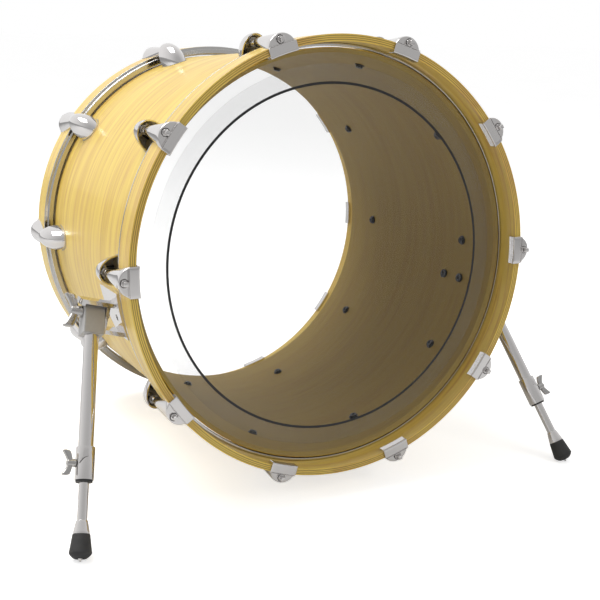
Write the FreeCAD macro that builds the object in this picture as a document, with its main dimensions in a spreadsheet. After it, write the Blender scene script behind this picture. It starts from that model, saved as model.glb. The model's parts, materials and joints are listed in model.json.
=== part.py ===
"""Kit bass drum standing on two folding spurs and the bottom of its rear hoop.

Frames used below, all in millimetres and degrees:
  stand frame   +X to the drum's right, +Z up, the front of the drum towards -Y, the floor at Z = 0
  drum frame    origin at the centre of the front hoop's face, X up, Y to the right, Z to the rear
  station frame the drum frame turned about its Z until X points at one lug
  pivot frame   origin on the left leg's pivot, X out along the pivot, Y up, Z to the rear
  leg frame     origin on the left leg's pivot, X out along the pivot, Z up along the leg
"""
import FreeCAD, Part
import math
import os
import Sketcher

V = FreeCAD.Vector
Place = FreeCAD.Placement
Turn = FreeCAD.Rotation
DOC = FreeCAD.newDocument("bass_drum")
SHEET = DOC.addObject("Spreadsheet::Sheet", "Sizes")
NODES = []


# ---------------------------------------------------------------- driving dimensions
class Size:
    """A dimension: its value now, and the spreadsheet formula that it comes from."""

    def __init__(self, value, text):
        self.value = float(value)
        self.text = text

    def __add__(self, other):
        return Size(self.value + number(other), "(%s + %s)" % (self.text, formula(other)))

    def __radd__(self, other):
        return Size(number(other) + self.value, "(%s + %s)" % (formula(other), self.text))

    def __sub__(self, other):
        return Size(self.value - number(other), "(%s - %s)" % (self.text, formula(other)))

    def __rsub__(self, other):
        return Size(number(other) - self.value, "(%s - %s)" % (formula(other), self.text))

    def __mul__(self, other):
        return Size(self.value * number(other), "(%s * %s)" % (self.text, formula(other)))

    def __rmul__(self, other):
        return Size(number(other) * self.value, "(%s * %s)" % (formula(other), self.text))

    def __truediv__(self, other):
        return Size(self.value / number(other), "(%s / %s)" % (self.text, formula(other)))

    def __neg__(self):
        return Size(-self.value, "(0 - %s)" % self.text)


def number(size):
    return size.value if isinstance(size, Size) else float(size)


def formula(size):
    return size.text if isinstance(size, Size) else repr(float(size))


def driving(alias, value, meaning):
    """Write one driving dimension in the sheet and give it back as a Size."""
    driving.row += 1
    SHEET.set("A%d" % driving.row, meaning)
    SHEET.set("B%d" % driving.row, str(value))
    SHEET.setAlias("B%d" % driving.row, alias)
    return Size(value, "Sizes." + alias)


driving.row = 0

# the shell and its heads
shell_radius = driving("shell_radius", 279.4, "outer radius of the shell, 22 inch drum")
shell_length = driving("shell_length", 431.8, "length of the shell, 17 inch")
shell_wall = driving("shell_wall", 6.5, "thickness of the ply shell")
edge_bevel = driving("edge_bevel", 4.5, "inside bevel of the bearing edges")
head_depth = driving("head_depth", 32.4, "hoop face to the end of the shell")
film_thick = driving("film_thick", 0.5, "thickness of a head film")
film_gap = driving("film_gap", 1.1, "gap between the shell and the film's collar")
film_tuck = driving("film_tuck", 14.0, "depth of the film's collar")
damper_width = driving("damper_width", 26.0, "width of the damping ring")
damper_edge = driving("damper_edge", 20.4, "outside of the shell to the damping ring's edge")
damper_thick = driving("damper_thick", 0.3, "thickness of the damping ring")

# counterhoops and flesh hoops
hoop_stand = driving("hoop_stand", 15.1, "outside of the shell to the outside of a wood hoop")
hoop_wall = driving("hoop_wall", 9.5, "thickness of a wood hoop")
hoop_depth = driving("hoop_depth", 42.0, "depth of a wood hoop")
hoop_round = driving("hoop_round", 2.5, "rounding of a hoop's outer edges")
flesh_seat = driving("flesh_seat", 5.0, "width of the shoulder under a wood hoop")
flesh_wall = driving("flesh_wall", 3.4, "thickness of a flesh hoop's collar")
flesh_drop = driving("flesh_drop", 11.0, "depth of a flesh hoop's outer ring")
flesh_relief = driving("flesh_relief", 2.0, "relief inside the outer ring")

# tension stations: claw, key rod, lug
station_count = driving("station_count", 10, "claws and lugs on each side")
first_station = driving("first_station", 18.0, "angle of the first station from the top")
rod_stand = driving("rod_stand", 20.6, "outside of the shell to the middle of a key rod")
rod_radius = driving("rod_radius", 3.0, "radius of a key rod")
rod_end = driving("rod_end", 98.0, "hoop face to the end of a key rod")
key_square = driving("key_square", 5.8, "width of a rod's square head")
key_reach = driving("key_reach", 9.5, "reach of the square head in front of the hoop")
flange_radius = driving("flange_radius", 4.7, "radius of the flange under the square head")
claw_width = driving("claw_width", 39.4, "width of a claw's hook")
claw_plate = driving("claw_plate", 3.0, "thickness of a claw's front plate")
claw_lip = driving("claw_lip", 9.0, "return of a claw along the hoop's inner wall")
claw_hook = driving("claw_hook", 13.5, "radial height of the front plate")
boss_height = driving("boss_height", 13.0, "height of a claw's boss above the hoop")
boss_sink = driving("boss_sink", 1.0, "reach of the boss in front of the hoop")
boss_body = driving("boss_body", 7.0, "straight length of a boss before it tapers")
boss_round = driving("boss_round", 1.5, "rounding of the boss's front edge")
claw_length = driving("claw_length", 67.0, "hoop face to the tip of a claw")
tip_radius = driving("tip_radius", 5.0, "half height of a claw's tip")
recess_radius = driving("recess_radius", 5.3, "radius of the recess round the rod's head")
recess_floor = driving("recess_floor", 4.0, "hoop face to the floor of the recess")
washer_thick = driving("washer_thick", 1.0, "thickness of a rod washer")
rod_clearance = driving("rod_clearance", 0.4, "radial clearance of a rod in its claw")
thread_fit = driving("thread_fit", 0.06, "radial clearance of a screw in its thread")
lug_height = driving("lug_height", 31.6, "height of a lug above the shell")
lug_width = driving("lug_width", 40.0, "width of a lug")
lug_centre = driving("lug_centre", 80.0, "hoop face to the fullest section of a lug")
lug_tail = driving("lug_tail", 42.0, "fullest section of a lug to its closed end")
lug_wall = driving("lug_wall", 2.6, "wall of a lug")
lug_mouth_low = driving("lug_mouth_low", 91.0, "hoop face to the mouth of a lug at the shell")
lug_mouth_top = driving("lug_mouth_top", 73.0, "hoop face to the mouth of a lug at its top")
gasket_thick = driving("gasket_thick", 0.5, "thickness of the gaskets on the shell")
gasket_margin = driving("gasket_margin", 1.4, "gasket seen round a lug's foot")
nut_radius = driving("nut_radius", 6.0, "radius of a swivel nut")
nut_length = driving("nut_length", 14.0, "length of a swivel nut")
nut_pin = driving("nut_pin", 3.0, "radius of a swivel nut's trunnions")
nut_place = driving("nut_place", 87.0, "hoop face to the middle of a swivel nut")
rib_gap = driving("rib_gap", 7.5, "half the gap between a lug's two ribs")
rib_wall = driving("rib_wall", 2.4, "thickness of a rib")
pin_stop = driving("pin_stop", 0.2, "rib wall left at each end of the nut's pin bore")
screw_place = driving("screw_place", 112.8, "hoop face to a lug's screw")
screw_radius = driving("screw_radius", 2.5, "radius of a lug screw")
screw_grip = driving("screw_grip", 11.0, "depth of a lug screw in its lug")
screw_head = driving("screw_head", 5.2, "radius of a lug screw's head")
screw_head_thick = driving("screw_head_thick", 3.0, "thickness of a lug screw's head")
screw_washer = driving("screw_washer", 7.0, "radius of a lug screw's washer")
screw_washer_thick = driving("screw_washer_thick", 1.2, "thickness of a lug screw's washer")
hole_clearance = driving("hole_clearance", 0.3, "radial clearance of a screw in the shell")

# how the drum stands
tilt = driving("tilt", 4.1, "lift of the drum's front in degrees")

# spur bracket, in the drum frame and then the pivot frame
pivot_stand = driving("pivot_stand", 35.2, "outside of the shell to the leg's pivot")
pivot_below = driving("pivot_below", 11.2, "angle of the pivot below the horizontal")
pivot_depth = driving("pivot_depth", 122.7, "hoop face to the pivot")
pivot_rise = driving("pivot_rise", 14.6, "angle that the pivot's outer end points up")
leg_lean = driving("leg_lean", 29.4, "angle of the leg forward of straight down")
base_thick = driving("base_thick", 4.5, "thickness of a bracket's foot plate")
base_middle = driving("base_middle", 193.5, "angle of the foot plate's middle from the right")
base_height = driving("base_height", 68.0, "height of the foot plate")
base_front_top = driving("base_front_top", 98.0, "hoop face to the plate's front top corner")
base_rear_top = driving("base_rear_top", 178.0, "hoop face to the plate's rear top corner")
base_front_low = driving("base_front_low", 106.0, "hoop face to the plate's front low corner")
base_rear_low = driving("base_rear_low", 153.0, "hoop face to the plate's rear low corner")
anchor_angle = driving("anchor_angle", 192.2, "angle of the bracket screws from the right")
anchor_front = driving("anchor_front", 107.0, "hoop face to the front bracket screw")
anchor_pitch = driving("anchor_pitch", 41.0, "distance between a bracket's screws")
anchor_radius = driving("anchor_radius", 3.0, "radius of a bracket screw")
anchor_head = driving("anchor_head", 6.5, "radius of a bracket screw's head")
anchor_head_thick = driving("anchor_head_thick", 3.5, "thickness of a bracket screw's head")
arm_thick = driving("arm_thick", 5.5, "thickness of the bracket's arms")
arm_gap = driving("arm_gap", 1.2, "gap between the upper arm and the clamp block")
arm_reach = driving("arm_reach", 5.0, "reach of the upper arm past the clamp block")
arm_lip = driving("arm_lip", 8.0, "drop of the lip at the upper arm's end")
arm_low = driving("arm_low", 17.0, "pivot to the lower arm's top face")
arm_front = driving("arm_front", 13.0, "half width of the arms at the cheek")
arm_flare = driving("arm_flare", 26.0, "half width of the arms at the foot plate")
arm_drift = driving("arm_drift", 10.0, "rearward shift of the arms at the foot plate")
cheek_thick = driving("cheek_thick", 4.2, "thickness of the cheek that the block clamps on")

# clamp block and telescopic leg, in the leg frame
block_width = driving("block_width", 28.0, "clamp block along the pivot")
block_depth = driving("block_depth", 24.0, "clamp block fore and aft")
block_below = driving("block_below", 30.5, "clamp block below the pivot")
block_round = driving("block_round", 2.0, "rounding of the clamp block's edges")
side_gap = driving("side_gap", 0.3, "clearance between block, cheek and wing hub")
tube_radius = driving("tube_radius", 9.525, "outer radius of the leg tube, 3/4 inch")
tube_wall = driving("tube_wall", 1.6, "wall of the leg tube")
tube_top = driving("tube_top", 13.0, "pivot to the top of the leg tube")
tube_bottom = driving("tube_bottom", 220.6, "pivot to the bottom of the leg tube")
collar_radius = driving("collar_radius", 12.05, "outer radius of the leg's collar")
collar_length = driving("collar_length", 41.6, "length of the leg's collar")
slot_width = driving("slot_width", 1.6, "width of the slot in the collar")
bush_ring = driving("bush_ring", 2.5, "thickness of the bush's ring")
bush_radius = driving("bush_radius", 10.6, "radius of the bush's ring")
bush_sleeve = driving("bush_sleeve", 24.0, "length of the bush's sleeve in the tube")
inner_rod = driving("inner_rod", 6.35, "radius of the leg rod, half inch")
inner_length = driving("inner_length", 250.0, "length of the leg rod")
slide_fit = driving("slide_fit", 0.08, "radial clearance of sliding fits")
spike_length = driving("spike_length", 12.0, "length of the spike")
spike_tip = driving("spike_tip", 1.0, "radius of the spike's tip")
dome_radius = driving("dome_radius", 16.0, "radius of the rubber's domed end")
dome_centre = driving("dome_centre", 18.0, "spike's tip to the centre of the dome")
rubber_wide = driving("rubber_wide", 13.95, "largest radius of the rubber")
rubber_neck = driving("rubber_neck", 10.8, "radius of the rubber's upper end")
rubber_top = driving("rubber_top", 33.4, "spike's tip to the top of the rubber")
rubber_mouth = driving("rubber_mouth", 6.6, "radius of the rubber's mouth round the spike")
ferrule_top = driving("ferrule_top", 50.0, "spike's tip to the top of the ferrule")
ferrule_wide = driving("ferrule_wide", 10.25, "lower radius of the ferrule")
ferrule_neck = driving("ferrule_neck", 7.6, "upper radius of the ferrule")
ferrule_sleeve = driving("ferrule_sleeve", 8.6, "radius of the ferrule's sleeve in the rubber")
sleeve_bottom = driving("sleeve_bottom", 20.0, "spike's tip to the sleeve's end")

# wing screws
pivot_screw = driving("pivot_screw", 4.0, "radius of the pivot's wing screw")
pivot_wings = driving("pivot_wings", 46.0, "span of the pivot's wings")
lock_screw = driving("lock_screw", 3.0, "radius of the collar's wing screw")
lock_wings = driving("lock_wings", 32.0, "span of the collar's wings")
wing_thick = driving("wing_thick", 6.0, "thickness of the wings")

# sizes that follow the shell
hoop_radius = shell_radius + hoop_stand
rod_circle = shell_radius + rod_stand
damper_outer = shell_radius - damper_edge
damper_inner = damper_outer - damper_width
pivot_radius = shell_radius + pivot_stand

DOC.recompute()


# ---------------------------------------------------------------- building blocks
def bind(obj, prop, size):
    """Set a property, by an expression wherever the size comes from the sheet."""
    if isinstance(size, Size):
        obj.setExpression(prop, size.text)
    else:
        setattr(obj, prop, size)


def put(obj, base, turn=Turn()):
    """Give an object a place whose three coordinates follow the sheet."""
    obj.Placement = Place(V(*[number(part) for part in base]), turn)
    for letter, part in zip("xyz", base):
        if isinstance(part, Size):
            obj.setExpression("Placement.Base." + letter, part.text)
    return obj


# turns that lay a round solid along an axis, its seam turned away from the station's middle
SEAM_AWAY = Turn(V(0, 0, 1), 180)
ALONG = {"Z": SEAM_AWAY, "X": Turn(V(0, 1, 0), 90), "Y": Turn(V(1, 0, 0), -90)}


def cylinder(name, radius, length, base=(0, 0, 0), along="Z"):
    obj = DOC.addObject("Part::Cylinder", name)
    bind(obj, "Radius", radius)
    bind(obj, "Height", length)
    return put(obj, base, ALONG[along])


def cone(name, low, high, length, base=(0, 0, 0)):
    obj = DOC.addObject("Part::Cone", name)
    bind(obj, "Radius1", low)
    bind(obj, "Radius2", high)
    bind(obj, "Height", length)
    return put(obj, base)


def box(name, sizes, base, turn=Turn()):
    obj = DOC.addObject("Part::Box", name)
    for prop, size in zip(("Length", "Width", "Height"), sizes):
        bind(obj, prop, size)
    return put(obj, base, turn)


def cut(name, base, tool):
    obj = DOC.addObject("Part::Cut", name)
    obj.Refine = False
    obj.Base = base
    obj.Tool = tool
    return obj


def common(name, base, tool):
    obj = DOC.addObject("Part::Common", name)
    obj.Refine = False
    obj.Base = base
    obj.Tool = tool
    return obj


def fuse(name, *pieces):
    obj = DOC.addObject("Part::MultiFuse", name)
    obj.Refine = False
    obj.Shapes = list(pieces)
    return obj


def together(name, pieces):
    obj = DOC.addObject("Part::Compound", name)
    obj.Links = list(pieces)
    return obj


def ring(name, outer, inner, length, start):
    """Part tube about the Z axis, for cutting and trimming."""
    solid = cylinder(name + "_solid", outer, length, (0, 0, start))
    hollow = cylinder(name + "_hollow", inner, length, (0, 0, start))
    return cut(name, solid, hollow)


def origin_plane(body, role):
    return [item for item in body.Origin.OriginFeatures if item.Role == role][0]


def outline(body, name, plane, corners, lift=0):
    """Closed sketch of straight lines whose corners are bound to the sheet."""
    sketch = body.newObject("Sketcher::SketchObject", name)
    sketch.AttachmentSupport = [(origin_plane(body, plane), "")]
    sketch.MapMode = "FlatFace"
    if isinstance(lift, Size):
        sketch.setExpression("AttachmentOffset.Base.z", lift.text)
    points = [V(number(across), number(up), 0) for across, up in corners]
    count = len(points)
    for index, point in enumerate(points):
        sketch.addGeometry(Part.LineSegment(point, points[(index + 1) % count]), False)
    for index in range(count):
        follower = (index + 1) % count
        sketch.addConstraint(Sketcher.Constraint("Coincident", index, 2, follower, 1))
    for index, corner in enumerate(corners):
        fix_point(sketch, index, 1, corner)
    return sketch


def fix_point(sketch, geometry, end, corner):
    """Tie one sketch point to the axes by two bound distances."""
    for kind, axis, part in (("DistanceX", -2, corner[0]), ("DistanceY", -1, corner[1])):
        if not isinstance(part, Size) and part == 0:
            sketch.addConstraint(Sketcher.Constraint("PointOnObject", geometry, end, axis))
            continue
        rule = Sketcher.Constraint(kind, -1, 1, geometry, end, number(part))
        index = sketch.addConstraint(rule)
        if isinstance(part, Size):
            sketch.setExpression("Constraints[%d]" % index, part.text)


def turned(name, profile):
    """Body turned about Z from corners given as (radius, height)."""
    body = DOC.addObject("PartDesign::Body", name)
    sketch = outline(body, name + "_profile", "XZ_Plane", profile)
    spin = body.newObject("PartDesign::Revolution", name + "_turned")
    spin.Profile = sketch
    spin.ReferenceAxis = (sketch, ["V_Axis"])
    spin.Angle = 360.0
    DOC.recompute()
    return body


def padded(body, name, sketch, length, both_ways=False):
    pad = body.newObject("PartDesign::Pad", name)
    pad.Profile = sketch
    bind(pad, "Length", length)
    pad.Midplane = both_ways
    DOC.recompute()
    return pad


def rounded(body, name, base, radius, wanted):
    """Fillet the edges of a feature that the test picks."""
    edges = ["Edge%d" % (index + 1) for index, edge in enumerate(base.Shape.Edges) if wanted(edge)]
    fillet = body.newObject("PartDesign::Fillet", name)
    fillet.Base = (base, edges)
    bind(fillet, "Radius", radius)
    DOC.recompute()
    return fillet


def node(obj, label, place=None):
    """Name an object as one of the drum's pieces and put it in the stand frame."""
    obj.Label = label
    if place is not None:
        obj.Placement = place
    NODES.append(obj)
    return obj


def copies(label, master, places):
    """One piece that holds several separate copies of a master solid."""
    DOC.recompute()
    solids = []
    for place in places:
        for solid in master.Shape.Solids:
            moved = solid.copy()
            moved.Placement = place.multiply(moved.Placement)
            solids.append(moved)
    group = DOC.addObject("Part::Feature", label)
    group.Shape = Part.makeCompound(solids)
    return group


def frame(origin, x_axis, z_axis):
    """Placement with the given origin, X and Z directions."""
    y_axis = z_axis.cross(x_axis)
    columns = [x_axis, y_axis, z_axis, origin]
    rows = [[column[row] for column in columns] for row in range(3)]
    return Place(FreeCAD.Matrix(*rows[0], *rows[1], *rows[2], 0, 0, 0, 1))


# ---------------------------------------------------------------- the frames
overall_depth = shell_length + 2 * head_depth
lift_angle = math.radians(number(tilt))
edge_radius = number(hoop_round)
stand_height = (
    (number(overall_depth) - edge_radius) * math.sin(lift_angle)
    + (number(hoop_radius) - edge_radius) * math.cos(lift_angle)
    + edge_radius
)
DRUM = frame(
    V(0, 0, stand_height),
    V(0, math.sin(lift_angle), math.cos(lift_angle)),
    V(0, math.cos(lift_angle), -math.sin(lift_angle)),
)
TURN_ROUND = Place(V(0, 0, number(overall_depth)), Turn(V(1, 0, 0), 180))


def station_places(rear):
    """Station frames of one side, seen from the drum frame."""
    places = []
    step = 360.0 / number(station_count)
    for index in range(int(number(station_count))):
        place = Place(V(), Turn(V(0, 0, 1), number(first_station) + step * index))
        places.append(place.multiply(TURN_ROUND) if rear else place)
    return places


SIDES = (("front", Place(), station_places(False)), ("rear", TURN_ROUND, station_places(True)))


# ---------------------------------------------------------------- shell
def make_shell():
    inner = shell_radius - shell_wall
    far_end = head_depth + shell_length
    blank = turned("shell_blank", [
        (inner, head_depth + edge_bevel),
        (inner + edge_bevel, head_depth),
        (shell_radius - 1, head_depth),
        (shell_radius, head_depth + 1),
        (shell_radius, far_end - 1),
        (shell_radius - 1, far_end),
        (inner + edge_bevel, far_end),
        (inner, far_end - edge_bevel),
    ])
    drills = []
    for side, flip, places in SIDES:
        for index, place in enumerate(places):
            drill = cylinder(
                "%s_lug_drill_%02d" % (side, index + 1), screw_radius + hole_clearance, 2 * shell_wall
            )
            start = V(number(inner - shell_wall / 2), 0, number(screw_place))
            drill.Placement = place.multiply(Place(start, ALONG["X"]))
            drills.append(drill)
    for place in anchor_places():
        drill = cylinder("anchor_drill", anchor_radius + hole_clearance, 2 * shell_wall)
        start = V(number(inner - shell_wall / 2), 0, 0)
        drill.Placement = place.multiply(Place(start, ALONG["X"]))
        drills.append(drill)
    node(cut("drilled_shell", blank, together("shell_drills", drills)), "shell", DRUM)


def anchor_places():
    """Radial frames of the bracket screws on both sides, X outwards."""
    places = []
    left = 270.0 - (number(anchor_angle) - 180.0)
    for angle in (left, 360.0 - left):
        for row in range(2):
            depth = number(anchor_front + anchor_pitch * row)
            places.append(Place(V(0, 0, depth), Turn(V(0, 0, 1), angle)))
    return places


# ---------------------------------------------------------------- hoops and heads
def make_hoops_and_heads():
    hoop_inner = hoop_radius - hoop_wall
    skirt = shell_radius + film_gap
    collar = skirt + film_thick
    for side, flip, places in SIDES:
        place = DRUM.multiply(flip)
        hoop = turned(side + "_hoop_body", [
            (hoop_inner, 0), (hoop_radius, 0), (hoop_radius, hoop_depth), (hoop_inner, hoop_depth),
        ])
        outer_edge = number(hoop_radius) - 0.1
        rounded(hoop, side + "_hoop_edges", hoop.Tip, hoop_round,
                lambda edge: hasattr(edge.Curve, "Radius") and edge.Curve.Radius > outer_edge)
        node(hoop, side + "_hoop", place)

        film = turned(side + "_film_body", [
            (0, head_depth - film_thick),
            (collar, head_depth - film_thick),
            (collar, head_depth + film_tuck),
            (skirt, head_depth + film_tuck),
            (skirt, head_depth),
            (0, head_depth),
        ])
        node(film, side + "_head_film", place)

        flesh = turned(side + "_flesh_body", [
            (collar, head_depth + 0.6),
            (collar + flesh_wall, head_depth + 0.6),
            (collar + flesh_wall, hoop_depth),
            (hoop_inner + flesh_seat, hoop_depth),
            (hoop_inner + flesh_seat, hoop_depth + flesh_drop),
            (collar + flesh_relief, hoop_depth + flesh_drop),
            (collar + flesh_relief, head_depth + film_tuck),
            (collar, head_depth + film_tuck),
        ])
        node(flesh, side + "_flesh_hoop", place)

    damper = turned("damper_body", [
        (damper_inner, head_depth),
        (damper_outer, head_depth),
        (damper_outer, head_depth + damper_thick),
        (damper_inner, head_depth + damper_thick),
    ])
    node(damper, "front_damping_ring", DRUM)


# ---------------------------------------------------------------- claws
def half_round(body, name, foot, top, half_width, lift):
    """Sketch of a flat-bottomed round hump: a chord at the foot and one arc over it."""
    sketch = body.newObject("Sketcher::SketchObject", name)
    sketch.AttachmentSupport = [(origin_plane(body, "XY_Plane"), "")]
    sketch.MapMode = "FlatFace"
    sketch.setExpression("AttachmentOffset.Base.z", lift.text)
    low = V(number(foot), -number(half_width), 0)
    crown = V(number(top), 0, 0)
    high = V(number(foot), number(half_width), 0)
    sketch.addGeometry(Part.Arc(low, crown, high), False)
    sketch.addGeometry(Part.LineSegment(high, low), False)
    sketch.addConstraint(Sketcher.Constraint("Coincident", 0, 2, 1, 1))
    sketch.addConstraint(Sketcher.Constraint("Coincident", 1, 2, 0, 1))
    fix_point(sketch, 1, 2, (foot, -half_width))
    fix_point(sketch, 1, 1, (foot, half_width))
    rise = top - foot
    radius = (half_width * half_width + rise * rise) / (2 * rise)
    rule = sketch.addConstraint(Sketcher.Constraint("Radius", 0, number(radius)))
    sketch.setExpression("Constraints[%d]" % rule, radius.text)
    return sketch


def make_claw():
    """One claw in its station frame: hook plate, lip, boss and taper, bored for the rod."""
    boss_foot = hoop_radius - 7
    boss_top = hoop_radius + boss_height
    tip_foot = rod_circle - tip_radius
    boss = DOC.addObject("PartDesign::Body", "claw_boss")
    face = half_round(boss, "boss_face", boss_foot, boss_top, claw_width / 2, -boss_sink)
    padded(boss, "boss_block", face, boss_body)
    root = half_round(boss, "taper_root", boss_foot, boss_top, claw_width / 2, boss_body - boss_sink)
    tip = half_round(boss, "taper_tip", tip_foot, rod_circle + tip_radius, tip_radius - 0.2, claw_length)
    taper = boss.newObject("PartDesign::AdditiveLoft", "boss_taper")
    taper.Profile = root
    taper.Sections = [tip]
    taper.Ruled = True
    DOC.recompute()
    front = -number(boss_sink)
    rounded(boss, "boss_edge", taper, boss_round,
            lambda edge: abs(edge.BoundBox.ZMin - front) < 0.01 and abs(edge.BoundBox.ZMax - front) < 0.01
            and hasattr(edge.Curve, "Radius"))

    plate_blank = box("claw_plate_blank", (claw_hook + 2, claw_width, claw_plate + claw_lip),
                      (hoop_radius - claw_hook, -claw_width / 2, -claw_plate))
    plate = common("claw_hook_plate", plate_blank,
                   cylinder("claw_hook_edge", hoop_radius, claw_plate + claw_lip, (0, 0, -claw_plate)))
    seat = ring("claw_seat", hoop_radius, hoop_radius - hoop_wall, hoop_depth + boss_sink, 0)
    recess = cylinder("claw_recess", recess_radius, recess_floor + claw_plate,
                      (rod_circle, 0, -claw_plate))
    bore = cylinder("claw_bore", rod_radius + rod_clearance, 2 * claw_length,
                    (rod_circle, 0, -claw_plate))
    blank = fuse("claw_blank", boss, plate)
    return cut("claw", cut("claw_seated", blank, seat), together("claw_holes", [recess, bore]))


def make_claws_and_rods():
    claw = make_claw()
    washer_top = recess_floor - washer_thick
    washer = ring("rod_washer", flange_radius + 0.2, rod_radius + rod_clearance / 2,
                  washer_thick, washer_top)
    put(washer, (rod_circle, 0, 0))
    washer_places = []
    for side, flip, places in SIDES:
        node(copies(side + "_claw_group", claw, places), side + "_claws", DRUM)
        washer_places += places
        for index, place in enumerate(places):
            make_rod("%s_rod_%02d" % (side, index + 1), washer_top - 0.05, DRUM.multiply(place))
    node(copies("rod_washer_group", washer, washer_places), "rod_washers", DRUM)


def make_rod(name, seat, place):
    """Key rod: threaded shank, round flange on the washer and square head in front."""
    shank = cylinder(name + "_shank", rod_radius, rod_end - seat, (rod_circle, 0, seat))
    flange = cylinder(name + "_flange", flange_radius, seat + boss_sink + 1,
                      (rod_circle, 0, -boss_sink - 1))
    key = box(name + "_key", (key_square, key_square, key_reach),
              (rod_circle - key_square / 2, -key_square / 2, -key_reach))
    node(fuse(name + "_fused", shank, flange, key), name, place)


# ---------------------------------------------------------------- lugs
def egg(name, shrink):
    """Rounded outer form of a lug, or the form of its hollow when shrunk by a wall."""
    obj = DOC.addObject("Part::Ellipsoid", name)
    bind(obj, "Radius1", lug_tail - shrink)
    bind(obj, "Radius2", lug_height - shrink)
    bind(obj, "Radius3", lug_width / 2 - shrink)
    obj.Angle1 = -90
    obj.Angle2 = 90
    obj.Angle3 = 360
    return put(obj, (shell_radius, 0, lug_centre), SEAM_AWAY)


def mouth_cutter(name, gap):
    """Big block on the hoop's side of the slanted mouth, moved off it by a gap."""
    run = number(lug_mouth_low - lug_mouth_top)
    slope = math.degrees(math.atan2(run, number(lug_height)))
    turn = Turn(V(0, 1, 0), slope)
    reach = number(lug_height) * 3
    corner = V(number(shell_radius), 0, number(lug_mouth_low) - gap)
    corner = corner + turn.multVec(V(-reach / 2, -reach / 2, -reach))
    obj = box(name, (lug_height * 3, lug_height * 3, lug_height * 3), (0, 0, 0))
    obj.Placement = Place(corner, turn)
    return obj


def make_lug():
    """One hollow lug in its station frame, with two ribs for the nut and a screw boss."""
    foot = shell_radius + gasket_thick
    floor = cylinder("lug_floor", foot, lug_tail * 4, (0, 0, lug_centre - lug_tail * 2))
    outside = cut("lug_outside", cut("lug_domed", egg("lug_egg", Size(0, "0")), floor),
                  mouth_cutter("lug_mouth", 0))
    hollow = cut("lug_hollow", outside, egg("lug_inside", lug_wall))
    boss = cylinder("lug_boss", screw_radius * 2, lug_height, (foot, 0, screw_place), "X")
    rib_top = rod_circle + nut_pin + 1
    ribs = []
    for side, start in (("left", -rib_gap - rib_wall), ("right", rib_gap)):
        ribs.append(box("lug_rib_" + side, (rib_top - foot, rib_wall, nut_pin * 2 + 4),
                        (foot, start, nut_place - nut_pin - 2)))
    inner = common("lug_inner_work", fuse("lug_ribs_and_boss", boss, *ribs), outside)
    pin_bore_length = (rib_gap + rib_wall - pin_stop) * 2
    pin_bore = cylinder("lug_pin_bore", nut_pin + thread_fit, pin_bore_length,
                        (rod_circle, -pin_bore_length / 2, nut_place), "Y")
    screw_bore = cylinder("lug_screw_bore", screw_radius, screw_grip + 0.5,
                          (foot - 0.1, 0, screw_place), "X")
    return cut("lug", fuse("lug_whole", hollow, inner), together("lug_bores", [pin_bore, screw_bore]))


def make_gasket_skin():
    """Oval of gasket sheet wrapped on the shell, a little larger than the lug's foot."""
    margin = number(gasket_margin)
    centre = V(number(shell_radius) - 10, 0, number(lug_centre))
    long_end = centre + V(0, 0, number(lug_tail) + margin)
    short_end = centre + V(0, number(lug_width) / 2 + margin, 0)
    oval = Part.Ellipse(long_end, short_end, centre).toShape()
    column = DOC.addObject("Part::Feature", "gasket_column")
    column.Shape = Part.Face(Part.Wire(oval)).extrude(V(20, 0, 0))
    skin = ring("gasket_skin", shell_radius + gasket_thick, shell_radius, lug_tail * 4,
                lug_centre - lug_tail * 2)
    return common("gasket_oval", skin, column)


def make_lugs():
    lug = make_lug()
    foot = shell_radius + gasket_thick
    all_places = []
    for side, flip, places in SIDES:
        node(copies(side + "_lug_group", lug, places), side + "_lugs", DRUM)
        all_places += places

    pad_open = cut("gasket_open", make_gasket_skin(), mouth_cutter("gasket_mouth", number(gasket_margin)))
    pad_hole = cylinder("gasket_hole", screw_radius + hole_clearance, 4 * gasket_thick,
                        (shell_radius - gasket_thick, 0, screw_place), "X")
    gasket = cut("lug_gasket", pad_open, pad_hole)
    node(copies("lug_gasket_group", gasket, all_places), "lug_gaskets", DRUM)

    barrel = cylinder("nut_barrel", nut_radius, nut_length, (rod_circle, 0, nut_place - nut_length / 2))
    pin_length = rib_gap * 2 + rib_wall * 2 - 0.8
    pin = cylinder("nut_pins", nut_pin, pin_length, (rod_circle, -pin_length / 2, nut_place), "Y")
    nut_bore = cylinder("nut_bore", rod_radius + thread_fit, nut_length * 2,
                        (rod_circle, 0, nut_place - nut_length))
    nut = cut("swivel_nut", fuse("nut_blank", barrel, pin), nut_bore)
    node(copies("swivel_nut_group", nut, all_places), "swivel_nuts", DRUM)

    seat = shell_radius - shell_wall - 0.1
    under_head = seat - screw_washer_thick
    head = cylinder("lug_screw_head", screw_head, screw_head_thick,
                    (under_head - screw_head_thick, 0, screw_place), "X")
    shank_end = foot + screw_grip
    shank = cylinder("lug_screw_shank", screw_radius, shank_end - under_head,
                     (under_head, 0, screw_place), "X")
    socket = cylinder("lug_screw_socket", screw_head / 2, screw_head_thick / 2,
                      (under_head - screw_head_thick, 0, screw_place), "X")
    screw = cut("lug_screw", fuse("lug_screw_blank", head, shank), socket)
    node(copies("lug_screw_group", screw, all_places), "lug_screws", DRUM)

    disc = cylinder("lug_washer_disc", screw_washer, screw_washer_thick, (under_head, 0, screw_place), "X")
    eye = cylinder("lug_washer_eye", screw_radius + hole_clearance, screw_washer_thick * 2,
                   (under_head - screw_washer_thick / 2, 0, screw_place), "X")
    washer = cut("lug_washer", disc, eye)
    node(copies("lug_washer_group", washer, all_places), "lug_screw_washers", DRUM)


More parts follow.
